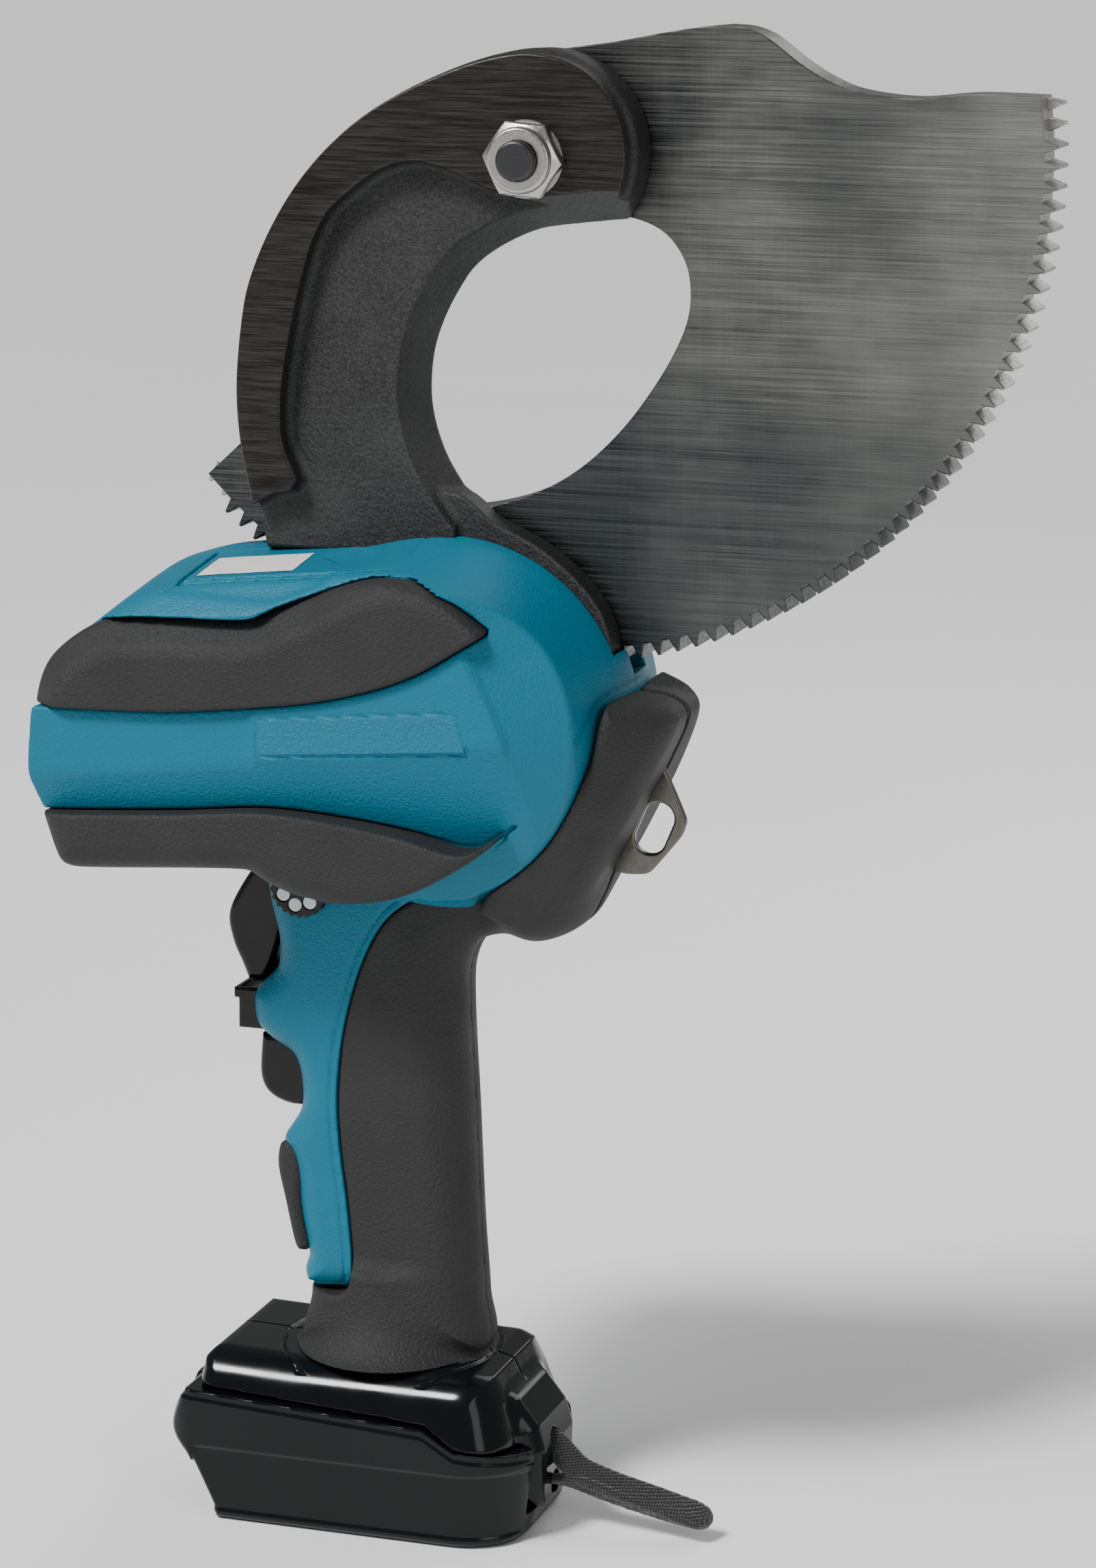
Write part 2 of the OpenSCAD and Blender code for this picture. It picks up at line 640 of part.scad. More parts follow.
trigger_axis = [-34, 205];
module upper_trigger() color(gloss_black) difference() {
  slab([[-43.6, 200], [-49.5, 192], [-50.3, 188], [-48.5, 180.5], [-45.5, 175], [-43.5, 169.5],
        [-38, 170.5], [-35, 178], [-31.5, 190], [-30, 208], [-36, 210]], -6.8, 6.8);
  rod_y(trigger_axis, 1.6 + fit, -10, 10);
}

module upper_spring() color(steel) tube_x([-31.6, 184], 2.4, 1.3, 10.5);

module trigger_pin() color(steel) rod_y(trigger_axis, 1.6, -9.5, 9.5);

module lock_slide() color(gloss_black)
  slab([[-46.5, 164.5], [-46.5, 168], [-34, 168], [-34, 155], [-45, 155], [-45, 164.5]], -11, 11);

module mode_dial() color(gloss_black) difference() {
  union() {
    rod_y([-20, 205], 9.6, -23.5, -20.2);
    rod_y([-20, 205], 3, -20.3, -16.2);
  }
  for (i = [0 : 6]) rod_y([-20, 205] + polar(5.9, 360 / 7 * i), 1.9, -24, -21.5);
  for (i = [0 : 13]) rod_y([-20, 205] + polar(10.4, 360 / 14 * i), 1.4, -24, -20);
}

module switch_body() color("black")
  slab([[-13.5, 132], [-13.5, 152], [-13, 168], [13, 168], [14, 132]], -11.5, 11.5);

module control_board() color("darkgreen") slab([[-12, 78], [-13, 122], [-11, 122], [-10, 78]], -11, 11);

// Four insulated leads from the terminals past the board to the switch
module lead_wires() color("firebrick") for (i = [0 : 3])
  slab([[4 + 2.4 * i, 50], [4 + 2.4 * i, 131.9], [5.8 + 2.4 * i, 131.9], [5.8 + 2.4 * i, 50]],
       -9 + 5 * i, -7.4 + 5 * i);

// ---- foot and battery ----------------------------------------------------------------------

foot_outline = [[-52.4, 43.8], [-52, 52.5], [-48, 54], [40, 54], [43.5, 52.5], [49.5, 38], [50.5, 31.4],
                [36, 33], [24.5, 39.8]];
tail_outline = [[49, 44], [50, 46], [52.5, 44], [55.4, 34], [55.4, 9], [51.6, 9], [51.6, 31.3], [49.6, 36]];
batt_x0 = -60;
batt_x1 = batt_x0 + battery_l;
batt_w2 = battery_w / 2;
tail_half = 19;
rail_y = [17, 23];

module foot_body() difference() {
  union() {
    intersection() {
      slab(foot_outline, -36, 36);
      round_block(-52.6, 52, 35.5, 6, 28, 30, 56);
    }
    slab(tail_outline, -tail_half, tail_half);
    // lips that the rails of the battery hook over
    foot_lips();
  }
  difference() {
    slab([[-46, 40], [-46, 50], [34, 50], [38, 38], [30, 38], [24, 40]], -30, 30);
    foot_lips();
  }
  translate([-15, -12, 45]) cube([36, 24, 20]);
  // way in for the battery's rails, and the pocket of its latch
  slab([[-60, 40], [-60, 45], [-45.9, 45], [-45.9, 40]], -24, 24);
  slab([[-51.8, 44], [-51.8, 46.7], [-49.2, 46.7], [-49.2, 44]], -8.4, 8.4);
  // slots of the strap
  for (z = [12, 24]) translate([51, -8.5, z]) cube([6, 10, 5]);
}

module foot_lips() for (s = [-1, 1]) scale([1, s, 1])
  slab([[-44, 39.7], [-44, 41.7], [16, 41.7], [16, 39.7]], 21.3, 30.2);

module foot_left() color(gloss_black) left_side() foot_body();
module foot_right() color(gloss_black) right_side() foot_body();

module terminal_block() color("black") difference() {
  translate([-14, -11.5, 40.5]) cube([24, 23, 9.3]);
  for (y = [-7, 0, 7]) translate([-15, y - 0.8, 39]) cube([20, 1.6, 5]);
}

// Side outline of the battery, with its stepped upper edge
case_side = [[-44.2, 0], [-52.1, 18.3], [-57.8, 25.4], [batt_x0, 29], [batt_x0, 32], [-54.5, 43],
             [-52.6, 43.4], [24.5, 39.5], [36, 32.7], [50.6, 31.1], [52.5, 29], [batt_x1, 25],
             [batt_x1, 8], [53.2, 2], [50.8, 0]];

module battery_shape() intersection() {
  slab(case_side, -batt_w2, batt_w2);
  round_block(batt_x0 - 1, batt_x1, batt_w2, 9, 24, -1, 60);
}

module battery_case() color(gloss_black) difference() {
  battery_shape();
  slab([[-41.5, 2.5], [-47.6, 12], [-51.3, 19], [-51.3, 60], [49, 60], [49, 2.5]],
       -batt_w2 + 2.5, batt_w2 - 2.5);
  // room for the foot's tail
  translate([51.3, -tail_half - 0.3, 8.7]) cube([10, 2 * tail_half + 0.6, 40]);
  // recess for the release button
  slab([[-62, 27], [-62, 45], [-53, 45], [-53, 27]], -16, 16);
  slab([[-53.1, 36], [-53.1, 45], [-51, 45], [-51, 36]], -8.6, 8.6);
  // recessed side panels
  for (s = [-1, 1]) slab([[-42, 4], [-50, 24.6], [60, 24.6], [60, 4]],
                         s < 0 ? -far : batt_w2 - 0.8, s < 0 ? -batt_w2 + 0.8 : far);
}

// Upper deck of the battery with the two rails that slide into the foot
module battery_cover() color(gloss_black) intersection() {
  union() {
    slab([[-48.9, 36.9], [-48.9, 39.3], [22, 37.6], [34, 30.9], [48.6, 29.8], [48.6, 27.6], [33, 28.6],
          [21, 35.2]], -batt_w2 + 2.6, batt_w2 - 2.6);
    for (s = [-1, 1]) scale([1, s, 1]) translate([-40, rail_y[0], 37]) {
      translate([0, 2, 0]) cube([58, 2, 5]);
      translate([0, 0, 5 - eps]) cube([58, rail_y[1] - rail_y[0], 2.5]);
    }
  }
  round_block(batt_x0, batt_x1 - 3, batt_w2 - 2.6, 7, 21.4, -1, 60);
}

// A single row of five round cells lying across the battery
cell_r = 9.1;
module battery_cells() color("royalblue") for (i = [0 : 4])
  rod_y([-41 + 18.3 * i, 19.5], cell_r, -32.3, 32.3);

// Button on the front of the battery, with the tongue that catches in the foot
module latch_button() color(gloss_black) {
  slab([[-59.5, 32], [-59.5, 38.5], [-57, 42], [-53.2, 42], [-53.2, 32]], -15.5, 15.5);
  slab([[-53.3, 40], [-53.3, 42], [-51.4, 42], [-51.4, 46.2], [-49.6, 46.2], [-49.6, 40]], -8, 8);
}

module latch_spring() color(steel)
  translate([-56.2, 0, 27.2]) difference() {
    cylinder(r = 2.2, h = 4.6);
    translate([0, 0, -1]) cylinder(r = 1.2, h = 8);
  }

module wrist_strap() color("black")
  slab([[55.5, 12.5], [55.5, 16.5], [62, 16.2], [55.5, 24.5], [55.5, 28.5], [59, 27.5],
        [68, 17.5], [88, 12.8], [106, 8.5], [107.6, 6.5], [106.4, 3.6], [86, 4.8], [68, 10.4]], -8, 1);

// ---- output --------------------------------------------------------------------------------

housing_left();
housing_right();
top_cover();
nameplate();
led_lens();
bumper_upper_left();
bumper_upper_right();
bumper_lower_left();
bumper_lower_right();
grip_left();
grip_right();
front_pad();
hook_plate();
hook_screws();
housing_screws();
fixed_jaw();
jaw_bolts();
moving_blade();
blade_stop_pin();
pivot_bolt();
pivot_bush();
pivot_washer();
pivot_nut();
drive_pinion();
spur_gear();
idler_shaft();
bevel_gear();
pinion_bearings();
idler_bearings();
gear_plate_left();
gear_plate_right();
plate_spacers();
motor_can();
motor_magnets();
motor_end_bell();
motor_rotor();
motor_fan();
bevel_pinion();
motor_bearings();
motor_bracket();
switch_body();
control_board();
lead_wires();
lower_trigger();
trigger_spring();
upper_trigger();
upper_spring();
trigger_pin();
lock_slide();
mode_dial();
foot_left();
foot_right();
terminal_block();
battery_case();
battery_cover();
battery_cells();
latch_button();
latch_spring();
wrist_strap();
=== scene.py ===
# Cordless rescue cutter: detailed visible pieces over the CAD frame. Lengths in here are millimetres
# until mesh() scales them; X runs to the back of the tool, Y away from its left side, Z up.
import json
import math
import bmesh
import bpy
import numpy as np
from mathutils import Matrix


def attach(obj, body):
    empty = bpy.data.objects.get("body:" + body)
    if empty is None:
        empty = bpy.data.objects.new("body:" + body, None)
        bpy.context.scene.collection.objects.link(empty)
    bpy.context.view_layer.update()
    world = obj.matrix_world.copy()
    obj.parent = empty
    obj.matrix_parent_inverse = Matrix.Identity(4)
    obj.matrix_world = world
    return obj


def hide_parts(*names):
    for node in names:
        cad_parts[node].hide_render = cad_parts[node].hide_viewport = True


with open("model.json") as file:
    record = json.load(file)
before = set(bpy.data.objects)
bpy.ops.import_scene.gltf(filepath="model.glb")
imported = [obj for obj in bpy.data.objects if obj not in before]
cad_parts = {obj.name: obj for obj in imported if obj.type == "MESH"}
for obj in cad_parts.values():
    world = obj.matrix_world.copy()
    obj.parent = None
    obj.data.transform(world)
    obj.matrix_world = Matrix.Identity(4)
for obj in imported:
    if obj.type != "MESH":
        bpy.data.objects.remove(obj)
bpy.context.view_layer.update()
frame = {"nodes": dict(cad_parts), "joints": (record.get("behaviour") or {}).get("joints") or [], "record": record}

F32 = np.float32
MM = 0.001


def joint_point(name):
    """X and Z of a joint's axis, in millimetres."""
    joint = next(j for j in frame["joints"] if j["name"] == name)
    x, _, z = joint["pos_m"]
    return round(x / MM, 3), round(z / MM, 3)


PIVOT_X, PIVOT_Z = joint_point("blade_swing")
DIAL_X, DIAL_Z = joint_point("dial_turn")
HINGE_X, HINGE_Z = joint_point("upper_trigger_pull")

# ---- camera: the photograph's view ----

cam_data = bpy.data.cameras.new("camera")
cam_data.sensor_fit = "VERTICAL"
cam_data.sensor_height = 36
cam_data.lens = 102.2
cam_data.clip_end = 20
cam = bpy.data.objects.new("camera", cam_data)
cam.location = (0.45116, -1.27508, 0.52173)
cam.rotation_euler = [math.radians(a) for a in (78.0204, -0.5840, 17.4731)]
bpy.context.scene.collection.objects.link(cam)
bpy.context.scene.camera = cam

# ---- fields: every shape is a function that is negative inside ----


def isect(a, b, r=0.0):
    """Both a and b, with a rounded edge of radius r."""
    if r <= 0:
        return np.maximum(a, b)
    u, v = np.maximum(a + r, 0), np.maximum(b + r, 0)
    return np.minimum(np.maximum(a, b), -r) + np.sqrt(u * u + v * v)


def union(a, b, r=0.0):
    """Either a or b, with a fillet of radius r between them."""
    return -isect(-a, -b, r)


def minus(a, b, r=0.0):
    """a without b, with a rounded edge of radius r."""
    return isect(a, -b, r)


def slab(v, lo, hi):
    """Between lo and hi."""
    return isect(lo - v, v - hi)


def radius(a, b):
    return np.sqrt(a ** 2 + b ** 2)


def groove(d, width, depth):
    """A rounded furrow where d is near zero, to be added to a field."""
    return depth * np.exp(-((d / width) ** 2))


def recess(d, width, depth):
    """A sunk area where d is negative, with a soft edge, to be added to a field."""
    return depth / (1 + np.exp(np.clip(d / width, -30, 30)))


# Outlines are measured once, on a table over the XZ plane, and looked up from there
CELL = 0.4
LOW_X, HIGH_X, LOW_Z, HIGH_Z = -105.0, 110.0, -4.0, 470.0
COARSE = 8
NEAR = 9
TABLES = {}


def poly(a, b, pts):
    """Signed distance from (a, b) to a closed outline, from the outline's table."""
    key = hash(tuple(pts))
    if key not in TABLES:
        ga = LOW_X + CELL * np.arange(int((HIGH_X - LOW_X) / CELL) + 2, dtype=F32)
        gb = LOW_Z + CELL * np.arange(int((HIGH_Z - LOW_Z) / CELL) + 2, dtype=F32)
        TABLES[key] = far_and_near(ga, gb, pts)
    table = TABLES[key]
    u = np.clip((np.asarray(a, F32) - LOW_X) / CELL, 0, table.shape[0] - 1.001)
    v = np.clip((np.asarray(b, F32) - LOW_Z) / CELL, 0, table.shape[1] - 1.001)
    i, j = u.astype(np.int32), v.astype(np.int32)
    u, v = u - i, v - j
    low = table[i, j] * (1 - u) + table[i + 1, j] * u
    high = table[i, j + 1] * (1 - u) + table[i + 1, j + 1] * u
    return low * (1 - v) + high * v


def far_and_near(ga, gb, pts):
    """Distances over the table: exact near the outline, interpolated far from it."""
    step = COARSE * CELL
    wide_a = ga[0] + step * np.arange(len(ga) // COARSE + 2, dtype=F32)
    wide_b = gb[0] + step * np.arange(len(gb) // COARSE + 2, dtype=F32)
    coarse = outline_distance(wide_a[:, None], wide_b[None, :], pts)
    ia, ta = np.divmod(np.arange(len(ga)), COARSE)
    ib, tb = np.divmod(np.arange(len(gb)), COARSE)
    ta, tb = (ta / COARSE)[:, None], (tb / COARSE)[None, :]
    low = coarse[ia][:, ib] * (1 - ta) + coarse[ia + 1][:, ib] * ta
    high = coarse[ia][:, ib + 1] * (1 - ta) + coarse[ia + 1][:, ib + 1] * ta
    table = (low * (1 - tb) + high * tb).astype(F32)
    near = np.abs(table) < NEAR
    i, j = np.nonzero(near)
    table[i, j] = outline_distance(ga[i], gb[j], pts)
    return table


def outline_distance(a, b, pts):
    """Signed distance from (a, b) to a closed outline, worked out edge by edge."""
    a, b = np.broadcast_arrays(np.asarray(a, F32), np.asarray(b, F32))
    best = np.full(a.shape, 1e9, F32)
    inside = np.zeros(a.shape, bool)
    for i in range(len(pts)):
        x0, y0 = pts[i - 1]
        x1, y1 = pts[i]
        ex, ey = x1 - x0, y1 - y0
        n = ex * ex + ey * ey
        if n < 1e-9:
            continue
        wx, wy = a - F32(x0), b - F32(y0)
        t = np.clip((wx * ex + wy * ey) / n, 0, 1)
        best = np.minimum(best, (wx - ex * t) ** 2 + (wy - ey * t) ** 2)
        if y0 != y1:
            inside ^= ((b >= y0) != (b >= y1)) & (wx < ex * wy / ey)
    return np.where(inside, F32(-1), F32(1)) * np.sqrt(best)


def smooth(pts, step=2.5, closed=True):
    """A curve through the points; a point with a third entry is a sharp corner."""
    count = len(pts)

    def at(k):
        return pts[k % count] if closed else pts[min(max(k, 0), count - 1)]

    out = []
    for i in range(count if closed else count - 1):
        before, start, end, after = at(i - 1), at(i), at(i + 1), at(i + 2)
        if len(start) > 2:
            before = start
        if len(end) > 2:
            after = end
        before, start, end, after = (np.array(q[:2], float) for q in (before, start, end, after))
        span = np.linalg.norm(end - start)
        leave, arrive = (end - before) / 2, (after - start) / 2
        for tangent in (leave, arrive):
            length = np.linalg.norm(tangent)
            if length > span:
                tangent *= span / length
        pieces = max(1, int(span / step))
        for j in range(pieces):
            t = j / pieces
            out.append((2 * t**3 - 3 * t**2 + 1) * start + (t**3 - 2 * t**2 + t) * leave
                       + (3 * t**2 - 2 * t**3) * end + (t**3 - t**2) * arrive)
    if not closed:
        out.append(np.array(pts[-1][:2], float))
    return [tuple(float(c) for c in q) for q in out]


def hull_planes(*slabs):
    """Planes of the convex hull of some side outlines, each given with its half width."""
    bm = bmesh.new()
    for pts, half in slabs:
        for x, z in pts:
            for s in (-1, 1):
                bm.verts.new((x, s * half, z))
    bmesh.ops.convex_hull(bm, input=bm.verts)
    planes = {}
    for f in bm.faces:
        n = f.normal
        d = n.dot(f.verts[0].co)
        key = (round(n.x * 12), round(n.y * 12), round(n.z * 12))
        if key not in planes or planes[key][3] < d:
            planes[key] = (n.x, n.y, n.z, d)
    bm.free()
    return list(planes.values())


def hull_field(planes, x, y, z, soft=0.55):
    """Rounded convex hull; y is never negative here, so only planes facing that way count."""
    total = 0
    for a, b, c, d in planes:
        if b < -0.01:
            continue
        total = total + np.exp(np.clip((a * x + b * y + c * z - d) / soft, -60, 40))
    return soft * np.log(total)


# ---- from a field to a mesh ----


def nets(field, lo, hi, h):
    """Surface nets over a box: points and quads of the surface where the field is zero."""
    axes = [F32(lo[k]) + F32(h) * np.arange(int(math.ceil((hi[k] - lo[k]) / h)) + 1, dtype=F32)
            for k in range(3)]
    f = field(axes[0][:, None, None], axes[1][None, :, None], axes[2][None, None, :])
    f = np.broadcast_to(f, [len(a) for a in axes]).astype(F32)
    inside = f < 0
    count = np.zeros([n - 1 for n in f.shape], np.int8)
    for i in (0, 1):
        for j in (0, 1):
            for k in (0, 1):
                count += inside[i:f.shape[0] - 1 + i, j:f.shape[1] - 1 + j, k:f.shape[2] - 1 + k]
    active = (count > 0) & (count < 8)
    cells = np.argwhere(active)
    index = np.full(active.shape, -1, np.int64)
    index[active] = np.arange(len(cells))
    total = np.zeros((len(cells), 3))
    hits = np.zeros(len(cells))
    for axis in range(3):
        others = [k for k in range(3) if k != axis]
        for u in (0, 1):
            for v in (0, 1):
                a = cells.copy()
                a[:, others[0]] += u
                a[:, others[1]] += v
                b = a.copy()
                b[:, axis] += 1
                fa, fb = f[tuple(a.T)], f[tuple(b.T)]
                m = (fa < 0) != (fb < 0)
                p = a.astype(float)
                p[m, axis] += fa[m] / (fa[m] - fb[m])
                total[m] += p[m]
                hits[m] += 1
    points = total / hits[:, None]
    quads = []
    for axis in range(3):
        u, v = [(1, 2), (2, 0), (0, 1)][axis]
        cut = [slice(None)] * 3
        cut2 = [slice(None)] * 3
        cut[axis], cut2[axis] = slice(0, -1), slice(1, None)
        change = inside[tuple(cut)] != inside[tuple(cut2)]
        e = np.argwhere(change)
        e = e[(e[:, u] > 0) & (e[:, v] > 0) & (e[:, u] < f.shape[u] - 1) & (e[:, v] < f.shape[v] - 1)]
        du, dv = np.zeros(3, int), np.zeros(3, int)
        du[u], dv[v] = 1, 1
        q = np.stack([index[tuple((e - s).T)] for s in (du * 0, du, du + dv, dv)], 1)
        flip = inside[tuple(e.T)]
        q[~flip] = q[~flip][:, ::-1]
        quads.append(q)
    quads = np.concatenate(quads)
    quads = quads[(quads >= 0).all(1)]
    return points * h + np.array(lo, float), quads


def gradient(field, p, e=0.25):
    """Field value and gradient at points, by differences over a small tetrahedron."""
    g = np.zeros(p.shape)
    mean = np.zeros(len(p))
    for corner in ((1, -1, -1), (-1, -1, 1), (-1, 1, -1), (1, 1, 1)):
        c = np.array(corner)
        v = np.asarray(field(*(p + c * e).T.astype(F32)), float)
        g += v[:, None] * c
        mean += v / 4
    return mean, g / (4 * e)


def shape(name, field, lo, hi, h, **kw):
    """Makes a piece from a field: nets, then each point is moved onto the surface."""
    points, quads = nets(field, lo, hi, h)
    value, g = gradient(field, points, 0.1)
    size = np.maximum((g * g).sum(1), 0.2)
    step = np.clip(value / size, -0.35 * h, 0.35 * h)
    points = points - g * step[:, None]
    g = gradient(field, points, 0.3 * h)[1]
    g /= np.maximum(np.linalg.norm(g, axis=1), 1e-6)[:, None]
    mesh(name, points, quads, normals=g, **kw)


def skin(node, *args, **kw):
    """A piece made from a field that stands for one CAD node and is named after it."""
    shape(f"{node}_skin", *args, stands_for=(node,), **kw)


def mesh(name, points, faces, slot, body="root", material=None, stands_for=(), normals=None, flat=False):
    """A piece from points in millimetres, in the slot's own material unless another is given."""
    data = bpy.data.meshes.new(name)
    points = np.asarray(points, float) * MM
    faces = [list(map(int, f)) for f in faces]
    data.from_pydata([tuple(p) for p in points], [], faces)
    data.validate()
    data.polygons.foreach_set("use_smooth", [not flat] * len(data.polygons))
    if normals is not None and len(data.vertices) == len(normals):
        data.normals_split_custom_set_from_vertices([tuple(n) for n in normals])
    data.update()
    obj = bpy.data.objects.new(name, data)
    bpy.context.scene.collection.objects.link(obj)
    data.materials.append(material or BY_SLOT[slot])
    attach(obj, body)
    if stands_for:
        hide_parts(*stands_for)


# ---- materials ----


class Nodes:
    """Small helper that strings shader nodes together."""

    def __init__(self, name, rough, metal=0.0, spec=0.5):
        self.mat = bpy.data.materials.new(name)
        self.mat.use_nodes = True
        self.tree = self.mat.node_tree
        self.bsdf = self.tree.nodes["Principled BSDF"]
        self.bsdf.inputs["Roughness"].default_value = rough
        self.bsdf.inputs["Metallic"].default_value = metal
        self.bsdf.inputs["Specular IOR Level"].default_value = spec
        self.coord = self.tree.nodes.new("ShaderNodeTexCoord").outputs["Object"]
        self.normal = None

    def link(self, a, b):
        self.tree.links.new(a, b)

    def value(self, socket, v):
        if hasattr(v, "is_output"):
            self.link(v, socket)
        else:
            socket.default_value = v

    def placed(self, scale=(1, 1, 1), turn=(0, 0, 0)):
        n = self.tree.nodes.new("ShaderNodeMapping")
        n.inputs["Scale"].default_value = scale
        n.inputs["Rotation"].default_value = turn
        self.link(self.coord, n.inputs["Vector"])
        return n.outputs["Vector"]

    def noise(self, scale, detail=2, rough=0.5, where=None):
        n = self.tree.nodes.new("ShaderNodeTexNoise")
        n.inputs["Scale"].default_value = scale
        n.inputs["Detail"].default_value = detail
        n.inputs["Roughness"].default_value = rough
        self.link(where or self.coord, n.inputs["Vector"])
        return n.outputs["Fac"]

    def cells(self, scale, where=None):
        n = self.tree.nodes.new("ShaderNodeTexVoronoi")
        n.inputs["Scale"].default_value = scale
        self.link(where or self.coord, n.inputs["Vector"])
        return n.outputs["Distance"]

    def math(self, op, a, b=0.0, c=0.0):
        n = self.tree.nodes.new("ShaderNodeMath")
        n.operation = op
        for s, v in zip(n.inputs, (a, b, c)):
            self.value(s, v)
        return n.outputs[0]

    def span(self, v, lo, hi, a=0.0, b=1.0):
        n = self.tree.nodes.new("ShaderNodeMapRange")
        for s, w in zip(n.inputs, (v, lo, hi, a, b)):
            self.value(s, w)
        return n.outputs[0]

    def mix(self, fac, a, b):
        n = self.tree.nodes.new("ShaderNodeMix")
        n.data_type = "RGBA"
        self.value(n.inputs["Factor"], fac)
        for s, v in ((n.inputs[6], a), (n.inputs[7], b)):
            if hasattr(v, "is_output"):
                self.link(v, s)
            else:
                s.default_value = (*v, 1)
        return n.outputs[2]

    def axis(self, k):
        n = self.tree.nodes.new("ShaderNodeSeparateXYZ")
        self.link(self.coord, n.inputs[0])
        return n.outputs[k]

    def bump(self, height, distance, strength=1.0):
        n = self.tree.nodes.new("ShaderNodeBump")
        n.inputs["Distance"].default_value = distance
        self.value(n.inputs["Strength"], strength)
        self.link(height, n.inputs["Height"])
        if self.normal:
            self.link(self.normal, n.inputs["Normal"])
        self.normal = n.outputs["Normal"]
        self.link(self.normal, self.bsdf.inputs["Normal"])

    def paint(self, colour):
        if hasattr(colour, "is_output"):
            self.link(colour, self.bsdf.inputs["Base Color"])
        else:
            self.bsdf.inputs["Base Color"].default_value = (*colour, 1)

    def rough(self, v):
        self.link(v, self.bsdf.inputs["Roughness"])


def plastic(name, colour, rough, grain, size=1500, spread=0.12, spec=0.5):
    """Moulded plastic or rubber: faintly clouded colour and a fine moulded grain."""
    m = Nodes(name, rough, spec=spec)
    dark = tuple(c * (1 - spread) for c in colour)
    light = tuple(min(1, c * (1 + spread)) for c in colour)
    m.paint(m.mix(m.noise(35, 3), dark, light))
    m.rough(m.span(m.noise(60, 3), 0.3, 0.7, rough - 0.05, rough + 0.06))
    m.bump(m.noise(size, 3, 0.6), grain)
    return m.mat


def metal(name, colour, rough, grain, size=900, spread=0.15, metallic=1.0):
    """Metal with a clouded tone and fine marks in its finish."""
    m = Nodes(name, rough, metal=metallic)
    tone = m.noise(30, 3)
    dark = tuple(c * (1 - spread) for c in colour)
    light = tuple(min(1, c * (1 + spread)) for c in colour)
    m.paint(m.mix(tone, dark, light))
    fine = m.noise(size, 3, 0.6, m.placed())
    m.rough(m.span(fine, 0.3, 0.7, rough - 0.08, rough + 0.1))
    m.bump(fine, grain)
    return m.mat


def blade_material():
    """Ground plate: long near-level scratches, a second set across them, clouds of wear, and a painted reflection
    that lightens it towards the back of the tool.
    """
    m = Nodes("ground blade", 0.34, metal=1.0)
    x = m.axis(0)
    long_lines = m.noise(520, 6, 0.65, m.placed((0.035, 1, 3.0), (0, 0.14, 0)))
    cross_lines = m.noise(460, 5, 0.6, m.placed((3.4, 1, 0.08), (0, 0.25, 0)))
    steep_lines = m.noise(460, 4, 0.6, m.placed((0.08, 1, 3.0), (0, 0.95, 0)))
    clouds = m.noise(14, 4, 0.6)
    small_clouds = m.noise(60, 4, 0.6, m.placed((0.5, 1, 1.6)))
    # painted reflection: the plate is coloured lighter towards the back of the tool; the clouds added below are
    # random tone
    light = m.span(x, 0.05, 0.175, -0.1, 0.75)
    light = m.math("ADD", light, m.span(clouds, 0.35, 0.65, -0.28, 0.28))
    light = m.math("ADD", light, m.span(small_clouds, 0.3, 0.7, -0.12, 0.12))
    colour = m.mix(m.span(light, 0, 1), (0.016, 0.020, 0.022), (0.25, 0.25, 0.235))
    along, across = m.span(long_lines, 0.36, 0.64, -0.5, 0.5), m.span(cross_lines, 0.5, 0.7, 0.0, 0.16)
    streak = m.math("ADD", along, across)
    colour = m.mix(m.span(streak, -0.5, 0.9, 0.0, 0.42), colour, (0.36, 0.36, 0.34))
    colour = m.mix(m.span(m.noise(8, 2), 0.48, 0.62, 0, 0.5), colour, (0.045, 0.052, 0.055))
    m.paint(colour)
    m.rough(m.span(m.math("ADD", long_lines, steep_lines), 0.8, 1.2, 0.26, 0.5))
    m.bump(long_lines, 0.00005, 0.6)
    m.bump(cross_lines, 0.00002, 0.3)
    return m.mat


def jaw_material():
    """Sand-textured web and sides, brushed rim."""
    m = Nodes("forged jaw", 0.5, metal=0.85)
    y = m.axis(1)
    rim = m.span(y, -0.0209, -0.02125)
    sand = m.noise(1400, 4, 0.7)
    pits = m.cells(900)
    brushed = m.noise(520, 5, 0.7, m.placed((0.1, 1, 2.6), (0, 0.72, 0)))
    web = m.mix(m.span(sand, 0.35, 0.65), (0.022, 0.022, 0.022), (0.060, 0.060, 0.060))
    ground = m.mix(m.span(brushed, 0.38, 0.62), (0.016, 0.0145, 0.0145), (0.055, 0.050, 0.048))
    cloud = m.noise(25, 3)
    m.paint(m.mix(rim, m.mix(m.span(cloud, 0.4, 0.65, 0, 0.35), web, (0.085, 0.087, 0.086)), ground))
    m.rough(m.span(rim, 0, 1, 0.55, 0.4))
    m.bump(sand, 0.00035, m.span(rim, 0, 1, 0.8, 0.0))
    m.bump(pits, 0.0002, m.span(rim, 0, 1, 0.5, 0.0))
    m.bump(brushed, 0.00006, m.span(rim, 0, 1, 0.0, 0.7))
    return m.mat


def webbing_material():
    """Woven strap: ribs along and across it."""
    m = Nodes("webbing", 0.85)
    ribs = []
    for scale, direction in ((330, "X"), (420, "Z")):
        wave = m.tree.nodes.new("ShaderNodeTexWave")
        wave.inputs["Scale"].default_value = scale
        wave.inputs["Distortion"].default_value = 2.0
        wave.bands_direction = direction
        m.link(m.coord, wave.inputs["Vector"])
        ribs.append(wave.outputs["Fac"])
    both = m.math("MULTIPLY", *ribs)
    m.paint(m.mix(both, (0.002, 0.002, 0.002), (0.022, 0.022, 0.023)))
    m.bump(both, 0.0006, 1.0)
    m.bump(m.noise(1600, 3), 0.0002, 0.7)
    m.bsdf.inputs["Sheen Weight"].default_value = 0.3
    return m.mat


